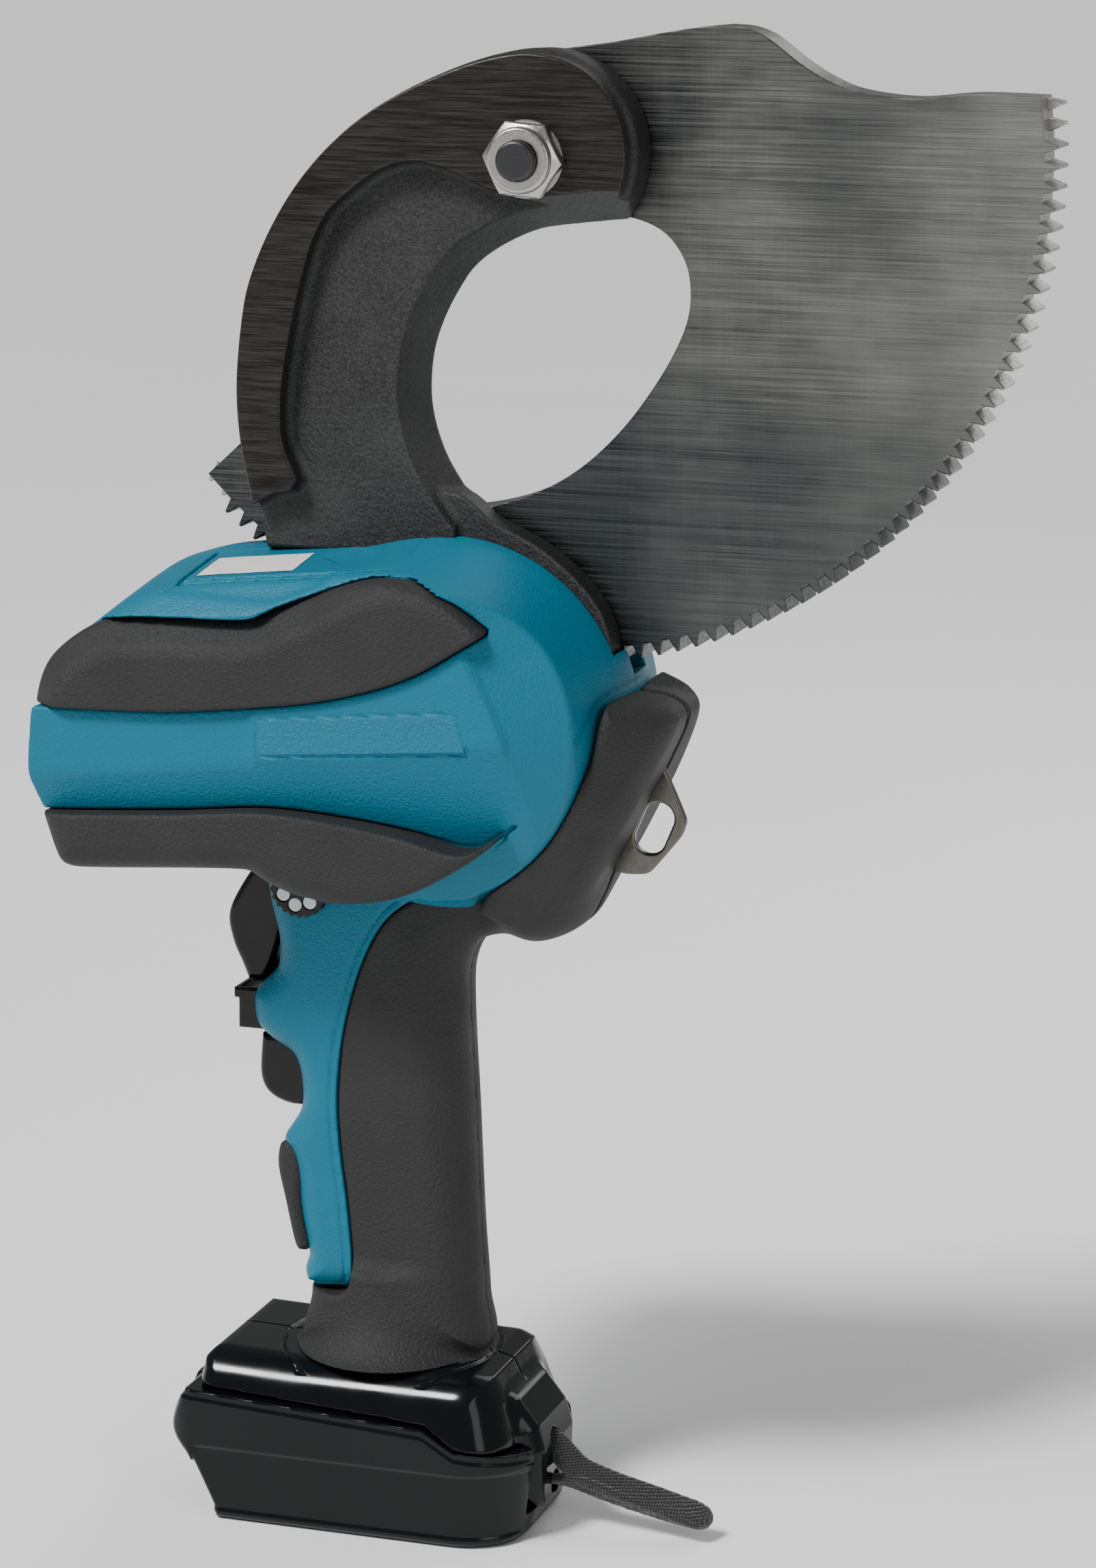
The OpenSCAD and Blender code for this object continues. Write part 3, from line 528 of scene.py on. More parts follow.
def lens_material():
    """Clear plastic over the lamp."""
    m = Nodes("lens", 0.08)
    m.bsdf.inputs["Transmission Weight"].default_value = 0.9
    m.paint(m.mix(m.noise(200), (0.85, 0.9, 0.92), (0.95, 0.97, 0.98)))
    m.bump(m.noise(700, 2), 0.00002)
    return m.mat


TEAL = (0.0, 0.135, 0.215)
teal = plastic("teal plastic", TEAL, 0.42, 0.0004, 1100, spread=0.06, spec=0.3)
teal_spark = plastic("teal coarse", TEAL, 0.42, 0.0007, 900, spread=0.1, spec=0.4)
rubber = plastic("soft grip", (0.018, 0.018, 0.018), 0.6, 0.0007, 1000, spread=0.25, spec=0.35)
black = plastic("gloss black", (0.003, 0.0036, 0.004), 0.15, 0.00001, 500, spread=0.15, spec=0.25)
trigger_black = plastic("trigger black", (0.004, 0.004, 0.0042), 0.22, 0.00001, 500, spread=0.1, spec=0.3)
white = plastic("pale spots", (0.62, 0.64, 0.66), 0.4, 0.00002, 900)
paper = plastic("blank label", (0.72, 0.70, 0.66), 0.45, 0.00002, 900, spread=0.04)
blade_mat = blade_material()
jaw_mat = jaw_material()
nut_mat = metal("nut steel", (0.50, 0.49, 0.46), 0.27, 0.00003, 900, spread=0.2)
dark_bolt = metal("dark bolt", (0.07, 0.07, 0.075), 0.4, 0.00003, 1500)
zinc = metal("zinc plate", (0.13, 0.125, 0.11), 0.3, 0.00003, 500, spread=0.35)
gear = metal("gear steel", (0.36, 0.36, 0.36), 0.35, 0.00002, 800)
polished = metal("bearing steel", (0.6, 0.6, 0.62), 0.2, 0.00001, 900)
alloy = metal("cast alloy", (0.5, 0.5, 0.5), 0.5, 0.0002, 900)
can_steel = metal("drawn steel", (0.3, 0.3, 0.31), 0.38, 0.00002, 700)
magnet = metal("magnet", (0.05, 0.05, 0.055), 0.6, 0.0001, 900, metallic=0.5)
copper = metal("windings", (0.55, 0.24, 0.09), 0.4, 0.0002, 1400)
bronze = metal("bronze", (0.5, 0.33, 0.14), 0.42, 0.0001, 1200)
board = plastic("circuit board", (0.02, 0.14, 0.05), 0.4, 0.00005, 700)
lead = plastic("leads", (0.35, 0.02, 0.02), 0.45, 0.00003, 900)
cell = plastic("cell sleeve", (0.06, 0.12, 0.38), 0.35, 0.00002, 900)
webbing = webbing_material()
lens = lens_material()

BY_SLOT = {
    "teal_plastic": teal, "soft_grip": rubber, "black_plastic": black, "lens": lens,
    "cast_jaw": jaw_mat, "blade_steel": blade_mat, "dark_steel": dark_bolt, "bright_steel": nut_mat,
    "zinc_steel": zinc, "bronze": bronze, "gear_steel": gear, "bearing_steel": polished,
    "cast_alloy": alloy, "motor_steel": can_steel, "magnet": magnet, "windings": copper,
    "board": board, "leads": lead, "cells": cell, "webbing": webbing,
}
slot_of = {s["node"]: s["material_slot"] for s in frame["record"]["subparts"]}
for node_name, obj in frame["nodes"].items():
    for s in obj.material_slots:
        s.material = BY_SLOT[slot_of[node_name]]

# ---- body ----

# The gear case is round about (CASE_X, CASE_Z) and its side faces stand HALF from the shear plane.
# Slopes are rise over run. SWEEP_R clears the blade's teeth and PIN_TRACK_R is where its stop pin runs.
HALF = 57.0
CASE_X, CASE_Z, CASE_R = 25, 259, 57.0
CASE_DRAFT = 9 / 42
FACE_BEVEL = 0.6
BAND_LEAN = 0.34
ROOF_Z = 285
TOP_Z = 318.0
SWEEP_R = 158.3
PIN_TRACK_R = 138.4

nose_planes = hull_planes(
    ([(-86, 215), (-91.5, 229.5), (-96, 243), (-94.5, 263), (-88.5, 278), (-70, 290), (-24, 293.5),
      (24, 300), (40, 296), (56, 262), (52, 240), (30, 218)], HALF),
    ([(-82, 217), (-90, 243), (-88, 265), (-66, 297), (-50, 302), (14, 309), (30, 300), (30, 220)], 46),
    ([(-80, 219), (-86, 243), (-84, 262), (-66.5, 302), (-51.3, 307), (16, 314), (24, 300), (24, 220)],
     8))

band_end = smooth([
    (-140, 180, 1), (30, 180), (44.7, 229), (50.8, 242), (55.3, 259.3), (51.9, 270.8), (45.8, 280.8),
    (38, 300), (20, 340, 1), (-140, 340, 1),
])


def case_radius(x, z):
    return radius(x - CASE_X, z - CASE_Z)


def pivot_radius(x, z):
    return radius(x - PIVOT_X, z - PIVOT_Z)


def body_field(x, y, z):
    """The whole teal body, mirrored about Y = 0."""
    w = np.abs(y)
    nose = hull_field(nose_planes, x, w, z)
    r = case_radius(x, z)
    cone = (r - CASE_R + (w - 11) * CASE_DRAFT) * math.cos(math.atan(CASE_DRAFT))
    cone = isect(cone, r - CASE_R - 0.2, 1.5)
    # the shallow bevel between the side face and the arc on the case
    over = np.maximum(poly(x, z, band_end), 0)
    face = (w - HALF + FACE_BEVEL * over) * math.cos(math.atan(FACE_BEVEL))
    case = isect(cone, face, 0.8)
    nose = isect(nose, face, 0.8)
    f = union(nose, case, 3)
    # the band leans inwards below the line from the nose at 242 up to the case at 259.5
    crease_z = 242 + (x + 96) * 17.5 / 151
    lean = (w - HALF) - BAND_LEAN * (z - crease_z)
    return isect(f, lean * math.cos(math.atan(BAND_LEAN)), 0.5)


handle_front = smooth([
    (-36, 222, 1), (-34, 200), (-31, 186), (-31.5, 176.5), (-35, 172.5), (-39, 168), (-39.6, 162),
    (-38.2, 156.5), (-33, 152), (-26.5, 148), (-24, 140), (-24.2, 131), (-28, 124.2), (-30, 120.5),
    (-27.9, 117), (-25.8, 110), (-24.5, 98), (-22.5, 88), (-21.5, 83), (-22.8, 79), (-21.8, 74.5),
    (-18, 73),
], 2, closed=False)
teal_edge = smooth([
    (-18, 73), (-9, 73.5), (-5.2, 77), (-5, 84), (-6.6, 102), (-9.2, 122), (-10, 138), (-8, 158),
    (-2, 180), (6, 195), (16, 203), (34, 209), (52, 220),
], 2, closed=False)
whole_side = smooth([
    (-21.8, 70), (-24.5, 98), (-25.5, 120), (-22, 150), (-28, 190), (-40, 240, 1), (70, 240, 1),
    (66, 201), (54, 193.6), (42, 191.6), (33, 188.5), (28.8, 180), (28.4, 168), (30.4, 136), (32.4, 98),
    (34.2, 72), (34, 56), (-21.5, 56),
], 2)


def handle_width(z):
    """Half width of the handle, wider at both ends."""
    return 17.0 + 2.2 * np.clip((z - 150) / 60, 0, 1) + 0.8 * np.clip((90 - z) / 30, 0, 1)


core_side = [(-50, 224)] + handle_front + [(-9, 73.5), (30, 73.5), (60, 224)]


def core_field(x, y, z):
    """Teal front of the handle."""
    return isect(poly(x, z, core_side), np.abs(y) - handle_width(z), 9)


def behind_edge(x, z):
    """Negative behind the line where the soft grip starts."""
    return poly(x, z, teal_edge + [(66, 235), (76, 253), (79, 270), (140, 270), (140, 20), (-18, 20)])


upper_side = smooth([
    (-36, 210), (-41.4, 206.4), (-45.6, 200.6), (-49.6, 193), (-50.4, 188), (-48.6, 180.6),
    (-45.8, 174.6), (-43.7, 169.6, 1), (-38, 170.4), (-34.6, 178), (-31.4, 190), (-30.2, 206),
], 1.5)
bump_up = smooth([
    (-95.6, 263.4), (-89.5, 278.6), (-69.9, 290.6), (-24.4, 293.4), (-15.6, 297.3), (5.5, 305.2),
    (15.3, 307.4), (25.1, 307.2), (38.5, 302.6), (49.5, 294.3, 1), (49.5, 240, 1), (-95.6, 240, 1),
], 2)
up_low = smooth([
    (-110, 263.2, 1), (-94.7, 263.2), (-50, 264.5), (-19.2, 267.9), (0, 271), (17.9, 275.9), (31, 281.5),
    (43.4, 289.2), (60, 300, 1), (60, 400, 1), (-110, 400, 1),
], 2)
bump_low = smooth([
    (-92.2, 231, 1), (-86.2, 215.2), (-80, 213.2), (-25.9, 216.6), (-18, 213), (-9.5, 210), (5.5, 208.6),
    (25.5, 213.1), (45.2, 224.3), (58, 235.4, 1), (58, 260, 1), (-92.2, 260, 1),
], 2)
low_top = smooth([
    (-120, 230.4, 1), (-91.3, 230.4), (-50, 233), (-19.4, 235.8), (5.6, 234.2), (25, 231.4), (45, 227.6),
    (57, 235.2, 1), (90, 236, 1), (90, 150, 1), (-120, 150, 1),
], 2)

# How far a bumper stands out from the side face, and how far in its seat goes
BUMPER_OUT = 3.0
BUMPER_DEEP = 10


def bumper_field(outer, inner, top_bevel):
    """Field of a bumper between two side outlines; its bevel fades out towards the case."""
    def field(x, y, z):
        w = np.abs(y)
        edge = poly(x, z, outer)
        face = w - (HALF + BUMPER_OUT)
        fade = np.clip((x + 5) / 38, 0, 1)
        bevel = (face + (edge + top_bevel * (1 - 0.8 * fade))) * math.sqrt(0.5)
        f = isect(isect(edge, face, 1.0), bevel, 2.2)
        f = isect(f, poly(x, z, inner), 1.2)
        # reaches in over the body's skin
        return isect(f, (HALF - BUMPER_DEEP) - w, 0.5)
    return field


upper = bumper_field(bump_up, up_low, 9.0)
lower = bumper_field(bump_low, low_top, 5.0)


def teal_field(x, y, z):
    """The housing before it is cut into its two halves."""
    f = body_field(x, y, z)
    f = union(f, core_field(x, y, z), 5)
    w = np.abs(y)
    # the slot that the upper trigger turns in
    f = minus(f, isect(poly(x, z, upper_side) - 5.8, w - 7.3), 0.4)
    # the seat of each bumper, with a thin gap round it
    for outer, inner in ((bump_up, up_low), (bump_low, low_top)):
        seat = isect(poly(x, z, outer), poly(x, z, inner)) - 0.3
        f = minus(f, isect(seat, (HALF - BUMPER_DEEP - 0.4) - w), 0.9)
    # room for the soft grip behind the edge
    r = case_radius(x, z)
    f = minus(f, isect(behind_edge(x, z), isect(CASE_R + 0.4 - r, w - 40)), 0.3)
    # a thin line that runs beside the soft grip
    return f + groove(behind_edge(x, z) - 2.4, 0.55, 0.5) * (r > 50)


shoulder = smooth([
    (-54, 299.2, 1), (-50.5, 301.5), (-22, 305.2), (-1, 307.6), (-3, 304.6), (-13, 300.6), (-17, 299.4),
    (-24, 298.9),
], 2)
jaw_slot = [
    (-34.3, 306), (-34.3, 340), (90, 340), (90, 292), (80, 289), (76.2, 281), (71.5, 262), (60, 246),
    (15, 246), (13, 275), (-28, 296.5),
]
plate_side = [(-20.5, 252.6), (-20.5, 264), (39.6, 269.8), (42.2, 268.6), (45.6, 258)]


def left_field(x, y, z):
    f = teal_field(x, y, z)
    f = isect(f, y + 0.05, 0.3)
    # slot that the jaw's base stands in
    f = minus(f, isect(poly(x, z, jaw_slot), isect(-11.3 - y, y - 1)), 0.6)
    f = isect(f, z - TOP_Z, 0.8)
    # roof panel, its slit and its moulded arrow
    on_roof = z > ROOF_Z
    panel = isect(np.abs(x + 16.5) - 34.5, np.abs(y + 27) - 16.5)
    f = f + groove(isect(panel, ROOF_Z - z), 0.4, 0.5) * on_roof
    f = f + groove(x + 50.8, 0.6, 1.0) * ((y > -43) & (y < -11) & on_roof)
    arrow = np.abs(x + 3) + np.abs(y + 24) * 0.9 - 8.5
    f = f + recess(arrow, 0.35, 0.55) * on_roof
    # long moulded recess on the shoulder, and the line round the nameplate
    f = f + recess(poly(x, z, shoulder), 0.4, 0.9) * ((y < -42) & (y > -56))
    return f + groove(poly(x, z, plate_side) - 0.2, 0.35, 0.45) * (y < -50)


def right_field(x, y, z):
    f = teal_field(x, y, z)
    f = isect(f, 0.05 - y, 0.3)
    # room for the blade to swing, and a track for its stop pin
    r = pivot_radius(x, z)
    f = minus(f, isect(r - SWEEP_R, y - 16.7), 0.6)
    f = minus(f, isect(np.abs(r - PIN_TRACK_R) - 2.9, y - 18.2), 0.3)
    f = isect(f, z - TOP_Z, 0.8)
    # the four screw wells
    for sx, sz in ((-62, 284), (-22, 227), (73, 246), (-21, 114)):
        f = minus(f, isect(radius(x - sx, z - sz) - 3.3, 11 - y), 0.4)
    return f


shape("housing_left_skin", left_field, (-100, -61, 68), (88, 1, 320), 0.8, slot="teal_plastic",
      stands_for=("housing_left", "top_cover"))
skin("housing_right", right_field, (-100, -1, 68), (88, 61, 320), 0.8, slot="teal_plastic")


def nameplate_field(x, y, z):
    return isect(poly(x, z, plate_side) + 0.4, slab(y, -HALF - 0.75, 1.5 - HALF), 0.3)


skin("nameplate", nameplate_field, (-22, -59, 250), (48, -54, 272), 0.5, slot="teal_plastic",
     material=teal_spark)

for side, near_y, far_y in (("left", -62, -44), ("right", 44, 62)):
    skin(f"bumper_upper_{side}", upper, (-99, near_y, 260), (56, far_y, 310), 0.8, slot="soft_grip")
    skin(f"bumper_lower_{side}", lower, (-99, near_y, 205), (62, far_y, 240), 0.8, slot="soft_grip")

# ---- soft grip and rear cover ----

cover_side = smooth([
    (40, 204, 1), (52, 219), (66, 235), (76, 252), (79, 266), (80, 270, 1), (92, 268.6), (97.4, 263.5),
    (92.5, 250), (82, 228.5), (76, 216), (70, 205), (63.2, 197), (52, 193),
], 2)

# The soft grip's own side of the edge, carried on below the handle, and the handle's centre line
soft_side = teal_edge + [(66, 235), (76, 253), (79, 290), (140, 290), (140, 20), (-60, 20), (-60, 73)]
POST_X = 3.2


def grip_field(x, y, z):
    w = np.abs(y)
    bar = isect(poly(x, z, whole_side), w - handle_width(z), 15)
    bar = isect(bar, z - 212, 4)
    # cover behind the gear case: widest where it meets the case
    taper = (w + 1.15 * (case_radius(x, z) - 53) - 40) / 1.5
    cover = isect(poly(x, z, cover_side), taper, 5)
    f = union(bar, cover, 9)
    # trumpet end
    t = np.clip((z - 53.8) / 30, 0, 1)
    flare = 33.0 - 14.5 * np.sqrt(np.clip(1 - (1 - t) ** 2.2, 0, 1))
    trumpet = isect((radius(x - POST_X, y / 1.11) - flare) * 0.75, slab(z, 53.6, 80), 0.6)
    f = union(f, trumpet, 7)
    f = isect(f, 53.4 - z, 0.5)
    f = isect(f, poly(x, z, soft_side) + 0.35, 1.4)
    f = minus(f, body_field(x, y, z) - 0.3, 0.6)
    # the parting line, and the slit that the hook plate stands in
    f = f + groove(y, 0.35, 0.5)
    return minus(f, isect(w - 1.7, 66 - x), 0.4)


shape("grip_skin", grip_field, (-34, -47, 52), (100, 47, 272), 0.8, slot="soft_grip",
      stands_for=("grip_left", "grip_right"))

pad_side = smooth([
    (-27.2, 121), (-30.4, 119), (-31.2, 112), (-28.6, 100), (-26, 88.5), (-24.2, 84.6), (-20, 86),
    (-22, 100), (-22, 116),
], 2)


def pad_field(x, y, z):
    return isect(poly(x, z, pad_side), np.abs(y) - 15.2, 3.8)


skin("front_pad", pad_field, (-34, -17, 82), (-17, 17, 124), 0.5, slot="soft_grip")

# ---- foot and battery ----


def plan(x, y, x0, x1, half, r0, r1):
    """Rounded rectangle in plan, front corners r0 and rear corners r1."""
    mid, length = (x0 + x1) / 2, (x1 - x0) / 2
    r = np.where(x < mid, r0, r1)
    a, b = np.abs(x - mid) - length + r, np.abs(y) - half + r
    return np.minimum(np.maximum(a, b), 0) + radius(np.maximum(a, 0), np.maximum(b, 0)) - r


def parting(x):
    """Height of the line where the foot meets the battery: front run, steep step, back run."""
    front = 43.6 - (x + 52.2) * 4.3 / 76.7
    step = 39.7 - (x - 24.5) * 6.8 / 11.5
    back = 33.0 - (x - 36) * 0.12
    return np.maximum(np.minimum(front, step), np.minimum(back, front))


FOOT_HALF = 37.6
foot_side = [
    (-52.6, 20), (-52.6, 44), (-51.6, 52), (-47.5, 54.6), (-20, 53.9), (38, 53.9), (43.5, 52.6),
    (47.2, 45), (51, 34), (53, 24), (53, 20),
]
tail_side = [(44, 46), (50, 44), (56.5, 36), (59, 28), (58.6, 9.5), (50, 9.5)]


def foot_field(x, y, z):
    inset = 0.32 * np.maximum(z - 33, 0)
    f = isect(poly(x, z, foot_side), plan(x, y, -60, 60, FOOT_HALF, 12, 26) + inset, 9)
    f = isect(f, parting(x) + 0.3 - z, 0.5)
    # tail that reaches down behind the battery and carries the strap
    f = union(f, isect(poly(x, z, tail_side), np.abs(y) - 18.8, 6), 3)
    # the parting line, and a groove round the end of the grip
    f = f + groove(y, 0.3, 0.4) * (z > 46)
    ring = radius(x - POST_X, y / 1.1) - 34.2
    f = f + groove(ring, 0.55, 1.0) * (z > 50)
    # holes of the strap
    for hz, hr in ((27.5, 4.2), (14, 3.6)):
        f = minus(f, isect(radius(y + 3, z - hz) - hr, 54 - x), 0.8)
    return f


shape("foot_skin", foot_field, (-56, -40, 8), (62, 40, 56), 0.7, slot="black_plastic",
      stands_for=("foot_left", "foot_right"))

batt_side = smooth([
    (-44.4, 0.1, 1), (-52.1, 18.3), (-54.6, 22), (-57.8, 25.2), (-60, 28.6), (-60, 31.5), (-57, 38.5),
    (-54.2, 43.6, 1), (-54.2, 60, 1), (58, 60, 1), (58.4, 20), (57.6, 8), (55.4, 2.4), (51, 0.1, 1),
], 2)


def battery_field(x, y, z):
    half = 34.8 + 0.11 * np.minimum(z, 26)
    top = plan(x, y, -62, 58.2, FOOT_HALF, 11, 25) + (FOOT_HALF - half)
    f = isect(poly(x, z, batt_side), top, 2.6)
    f = isect(f, z - parting(x) + 0.15, 0.6)
    # a second step just under the parting line
    rim = z - parting(x) + 3.2
    f = f + recess(-rim, 0.35, 0.495)
    # framed panel let into each side and round the back corner
    panel = isect(slab(z, 3.4, 24.6), -(x + 50.5) - 0.36 * (24.6 - z))
    f = f + recess(panel, 0.3, 0.8) * (x > -52)
    # room for the foot's tail and for the button
    f = minus(f, isect(isect(np.abs(y) - 19.3, 51.6 - x), 8.6 - z), 0.6)
    return minus(f, isect(isect(np.abs(y) - 15.9, x + 52.9), 28.3 - z), 0.6)


shape("battery_skin", battery_field, (-62, -40, -1), (60, 40, 46), 0.7, body="battery",
      slot="black_plastic", stands_for=("battery_case",))

button_side = smooth([(-59.4, 32.4), (-59.3, 38.2), (-57, 42), (-53.4, 42, 1), (-53.4, 32.4, 1)], 1.5)


def button_field(x, y, z):
    f = isect(poly(x, z, button_side), np.abs(y) - 15.3, 1.5)
    # four finger ridges
    for k in range(4):
        f = f + groove(z - 33.6 - 1.7 * k, 0.35, 0.4) * (x < -57) * (np.abs(y) < 12)
    return f


skin("latch_button", button_field, (-61, -17, 31), (-52, 17, 44), 0.5, body="latch", slot="black_plastic",
     material=trigger_black)

# ---- blade ----

# A full ring would have FULL_RING teeth; the blade has TEETH of them, the first in direction FIRST
FULL_RING, MODULE = 160, 1.9
TEETH, FIRST = 61, 2.5
TOOTH_STEP = 360 / FULL_RING
PITCH_R = MODULE * FULL_RING / 2
ROOT_R = 149.6


def polar(r, a):
    """Point at radius r and direction a, in degrees, about the pivot."""
    turn = math.radians(a)
    return PIVOT_X + r * math.cos(turn), PIVOT_Z + r * math.sin(turn)


def tooth(a):
    """Side outline of one straight-flanked tooth about direction a, clockwise."""
    rows = [(PITCH_R - 1.25 * MODULE, 0.68), (PITCH_R - 0.9 * MODULE, 0.62),
            (PITCH_R + 0.55 * MODULE, 0.26), (PITCH_R + 0.95 * MODULE, 0.17)]
    up = [polar(r, a + h) for r, h in rows]
    down = [polar(r, a - h) for r, h in reversed(rows)]
    return up + down


def rounded_plate(name, outline, y0, y1, chamfer, **kw):
    """An outline given thickness along Y, with small chamfers round both faces."""
    p = np.array(outline)
    p = p[[np.linalg.norm(p[i] - p[i - 1]) > 0.02 for i in range(len(p))]]
    area = np.sum(p[:, 0] * np.roll(p[:, 1], -1) - np.roll(p[:, 0], -1) * p[:, 1])
    if area < 0:
        p = p[::-1]
    n = len(p)
    before, after = p - np.roll(p, 1, 0), np.roll(p, -1, 0) - p
    out_before, out_after = (np.stack([e[:, 1], -e[:, 0]], 1) / np.linalg.norm(e, axis=1)[:, None]
                             for e in (before, after))
    mitre = out_before + out_after
    mitre /= np.maximum((mitre * out_before).sum(1), 0.5)[:, None]
    inner = p - mitre * chamfer
    rings = [(inner, y0), (p, y0 + chamfer), (p, y1 - chamfer), (inner, y1)]
    pts = [(q[0], y, q[1]) for ring, y in rings for q in ring]
    faces = []
    for k in range(3):
        for i in range(n):
            j = (i + 1) % n
            faces.append((k * n + i, k * n + j, (k + 1) * n + j, (k + 1) * n + i))
    faces.append(list(range(n))[::-1])
    faces.append([3 * n + i for i in range(n)])
    faces = [f[::-1] for f in faces]
    mesh(name, pts, faces, flat=True, **kw)


blade_back = smooth([
    (*polar(ROOT_R, 4.2), 1), (*polar(ROOT_R, 8.0), 1), (178.9, 451), (162.7, 449.4), (151.7, 449.9),
    (141.7, 451.6), (134, 454.8), (127.4, 458.6), (121.5, 463), (116, 466.6), (110, 468.6), (103, 469, 1),
    (92, 467.6), (70, 463.4, 1), (51, 460.6),
], 2, closed=False)
hub = [polar(30.5, a) for a in range(96, 200, 6)]
blade_front = smooth([
    (32, 411), (44, 409.2), (52, 410.6), (62, 412), (70, 412.5), (78, 411.8), (85.5, 409), (90.6, 404.4),
    (94.2, 397.8), (95.4, 389.5), (94.4, 381.5), (90.5, 372), (84, 361), (75, 348.9), (64, 338),
    (52, 330), (38, 324.4), (22, 321.4), (5, 321.8), (-12, 327), (-26, 336.5), (-35, 346, 1),
    (-42.5, 343.5, 1), (*polar(ROOT_R, -137.2), 1),
], 2, closed=False)
teeth_line = []
for i in reversed(range(TEETH)):
    teeth_line += tooth(FIRST - i * TOOTH_STEP)[::-1]
rounded_plate("blade_skin", blade_back + hub + blade_front + teeth_line, 0.35, 15.75, 0.35, body="blade",
              slot="blade_steel", stands_for=("moving_blade",))
for k, i in enumerate((-2, -1, TEETH, TEETH + 1)):
    a = FIRST - i * TOOTH_STEP
    prong = [polar(147.5, a + 1.05)] + tooth(a) + [polar(147.5, a - 1.05)]
    rounded_plate(f"end_tooth_{k}", prong, 8.2, 15.75, 0.25, body="blade", slot="blade_steel",
                  material=nut_mat)

# ---- fixed jaw ----

jaw_mouth = [
    (67.6, 410.6), (51.2, 408.3), (43.5, 405.6), (36.5, 401.9), (31, 398), (26.6, 393.3), (20, 381.8),
    (16, 370), (15.1, 357.2), (16.9, 347), (21, 337),
]
jaw_back = [
    (-38.6, 385), (-34, 399), (-27, 412.6), (-18.5, 424.6), (-8, 435.4), (2.5, 443.4), (14, 449.8),
    (28.5, 456),
]
jaw_out = smooth([
    (-33.8, 309, 1), (-36.5, 325), (-40.2, 343), (-41.2, 361), *jaw_back, (40, 459.6), (51, 461.6),
    (62, 460.2), (72, 454.6), (79.6, 445.4), (83, 433.6), (81.4, 421), (76.6, 411.6, 1), *jaw_mouth,
    (27, 328, 1), (27, 309, 1),
], 2)
opening = smooth([
    (100, 411, 1), (76.6, 411.6), *jaw_mouth, (29, 325), (42, 312), (60, 300, 1), (100, 300, 1),
], 2)
jaw_foot = smooth([
    (-33.8, 300, 1), (-33.8, 327, 1), (0, 329), (27, 328), (37.2, 320.6), (45, 317), (53.2, 312.9),
    (63, 305.5), (70.7, 297.2), (74.6, 289), (75.6, 281), (71, 262), (60, 248, 1), (16, 248, 1),
    (14, 275, 1), (-28, 297, 1),
], 2)
rim_side = smooth([
    (-36.8, 322, 1), (-41, 343), (-41.6, 361), *jaw_back, (40, 459.4), (51, 460.6), (62, 458.8),
    (71.4, 453.4), (78, 444.6), (81, 433), (79.6, 422.4), (74, 414.4, 1), (66, 415), (52, 417.6),
    (38.3, 421), (27, 425.6), (16.3, 428), (8, 426.6), (1.5, 423.4), (-8.4, 415.6), (-12.6, 411),
    (-17, 402), (-21, 388), (-24, 374), (-26.4, 358), (-26.2, 343.4), (-21.4, 331), (-23.4, 327.6),
    (-29, 326.6),
], 2)

# Rise over run of the ground bevel along the jaw's opening
GROUND_SLOPE = 2.0


def jaw_field(x, y, z):
    d_out = poly(x, z, jaw_out)
    web = isect(d_out, slab(y, -14.6, -0.3), 1.2)
    rim = isect(isect(poly(x, z, rim_side), d_out + 0.3, 0.8), slab(y, -21.5, -10), 0.9)
    f = union(web, rim, 2.6)
    # the opening's edge is ground back from the shear plane
    ground = (-y - 1.2 - GROUND_SLOPE * poly(x, z, opening)) / math.hypot(1, GROUND_SLOPE)
    f = isect(f, ground, 0.35)
    base = isect(isect(poly(x, z, jaw_foot), -y - 11.0, 1.0), y + 0.3, 0.4)
    f = union(f, base, 1.6)
    f = minus(f, pivot_radius(x, z) - 6.1)
    # light sand texture in the form itself, faded out on the ground rim
    rough = np.sin(x * 2.1 + np.sin(z * 1.7) * 1.3) * np.sin(z * 2.3 + np.sin(x * 1.9) * 1.1)
    return f + 0.05 * rough * (y > -20.5) * (y < -3)


skin("fixed_jaw", jaw_field, (-45, -23, 246), (86, 1.5, 464), 0.8, slot="cast_jaw")

# ---- pivot nut and bolt ----


def hexagon(a, b, flat, turn=0.0):
    """Field of a hexagon, flat across its flats."""
    f = -1e3
    for k in range(3):
        t = turn + k * math.pi / 3
        f = np.maximum(f, np.abs(a * math.cos(t) + b * math.sin(t)) - flat / 2)
    return f


def nut_field(x, y, z):
    """Hexagon with chamfered corners, a collar, and a retaining ring with a gap in it."""
    a, b = x - PIVOT_X, z - PIVOT_Z
    r = radius(a, b)
    body = isect(hexagon(a, b, 21.5, 0.45), isect(-29 - y, y + 23.0, 0.3), 0.4)
    body = isect(body, (r + (-26.6 - y) * 1.6 - 12.3) * 0.55, 0.4)
    collar = isect(r - 9.6, slab(y, -31, -28), 0.8)
    f = union(body, collar, 0.4)
    f = minus(f, isect(r - 7.4, -29.6 - y), 0.4)
    ring = isect(np.abs(r - 6.9) - 0.9, slab(y, -30.4, -29), 0.3)
    gap = isect(np.abs(a - 4.6) - 1.6, np.abs(b - 5.2) - 1.5)
    f = union(f, minus(ring, gap, 0.2), 0.1)
    return minus(f, r - 5.98)


skin("pivot_nut", nut_field, (37, -32, 416), (65, -22, 444), 0.4, slot="bright_steel")


def bolt_field(x, y, z):
    a, b = x - PIVOT_X, z - PIVOT_Z
    r = radius(a, b)
    shank = isect(r - 5.95, slab(y, -34, 17.5), 1.0)
    shank = minus(shank, isect(r - 1.8, -32.8 - y), 0.3)
    head = isect(hexagon(a, b, 21), slab(y, 16.0, 24.6), 0.6)
    head = isect(head, (r + (y - 22.4) * 1.6 - 12.2) * 0.55, 0.4)
    return union(shank, head, 0.4)


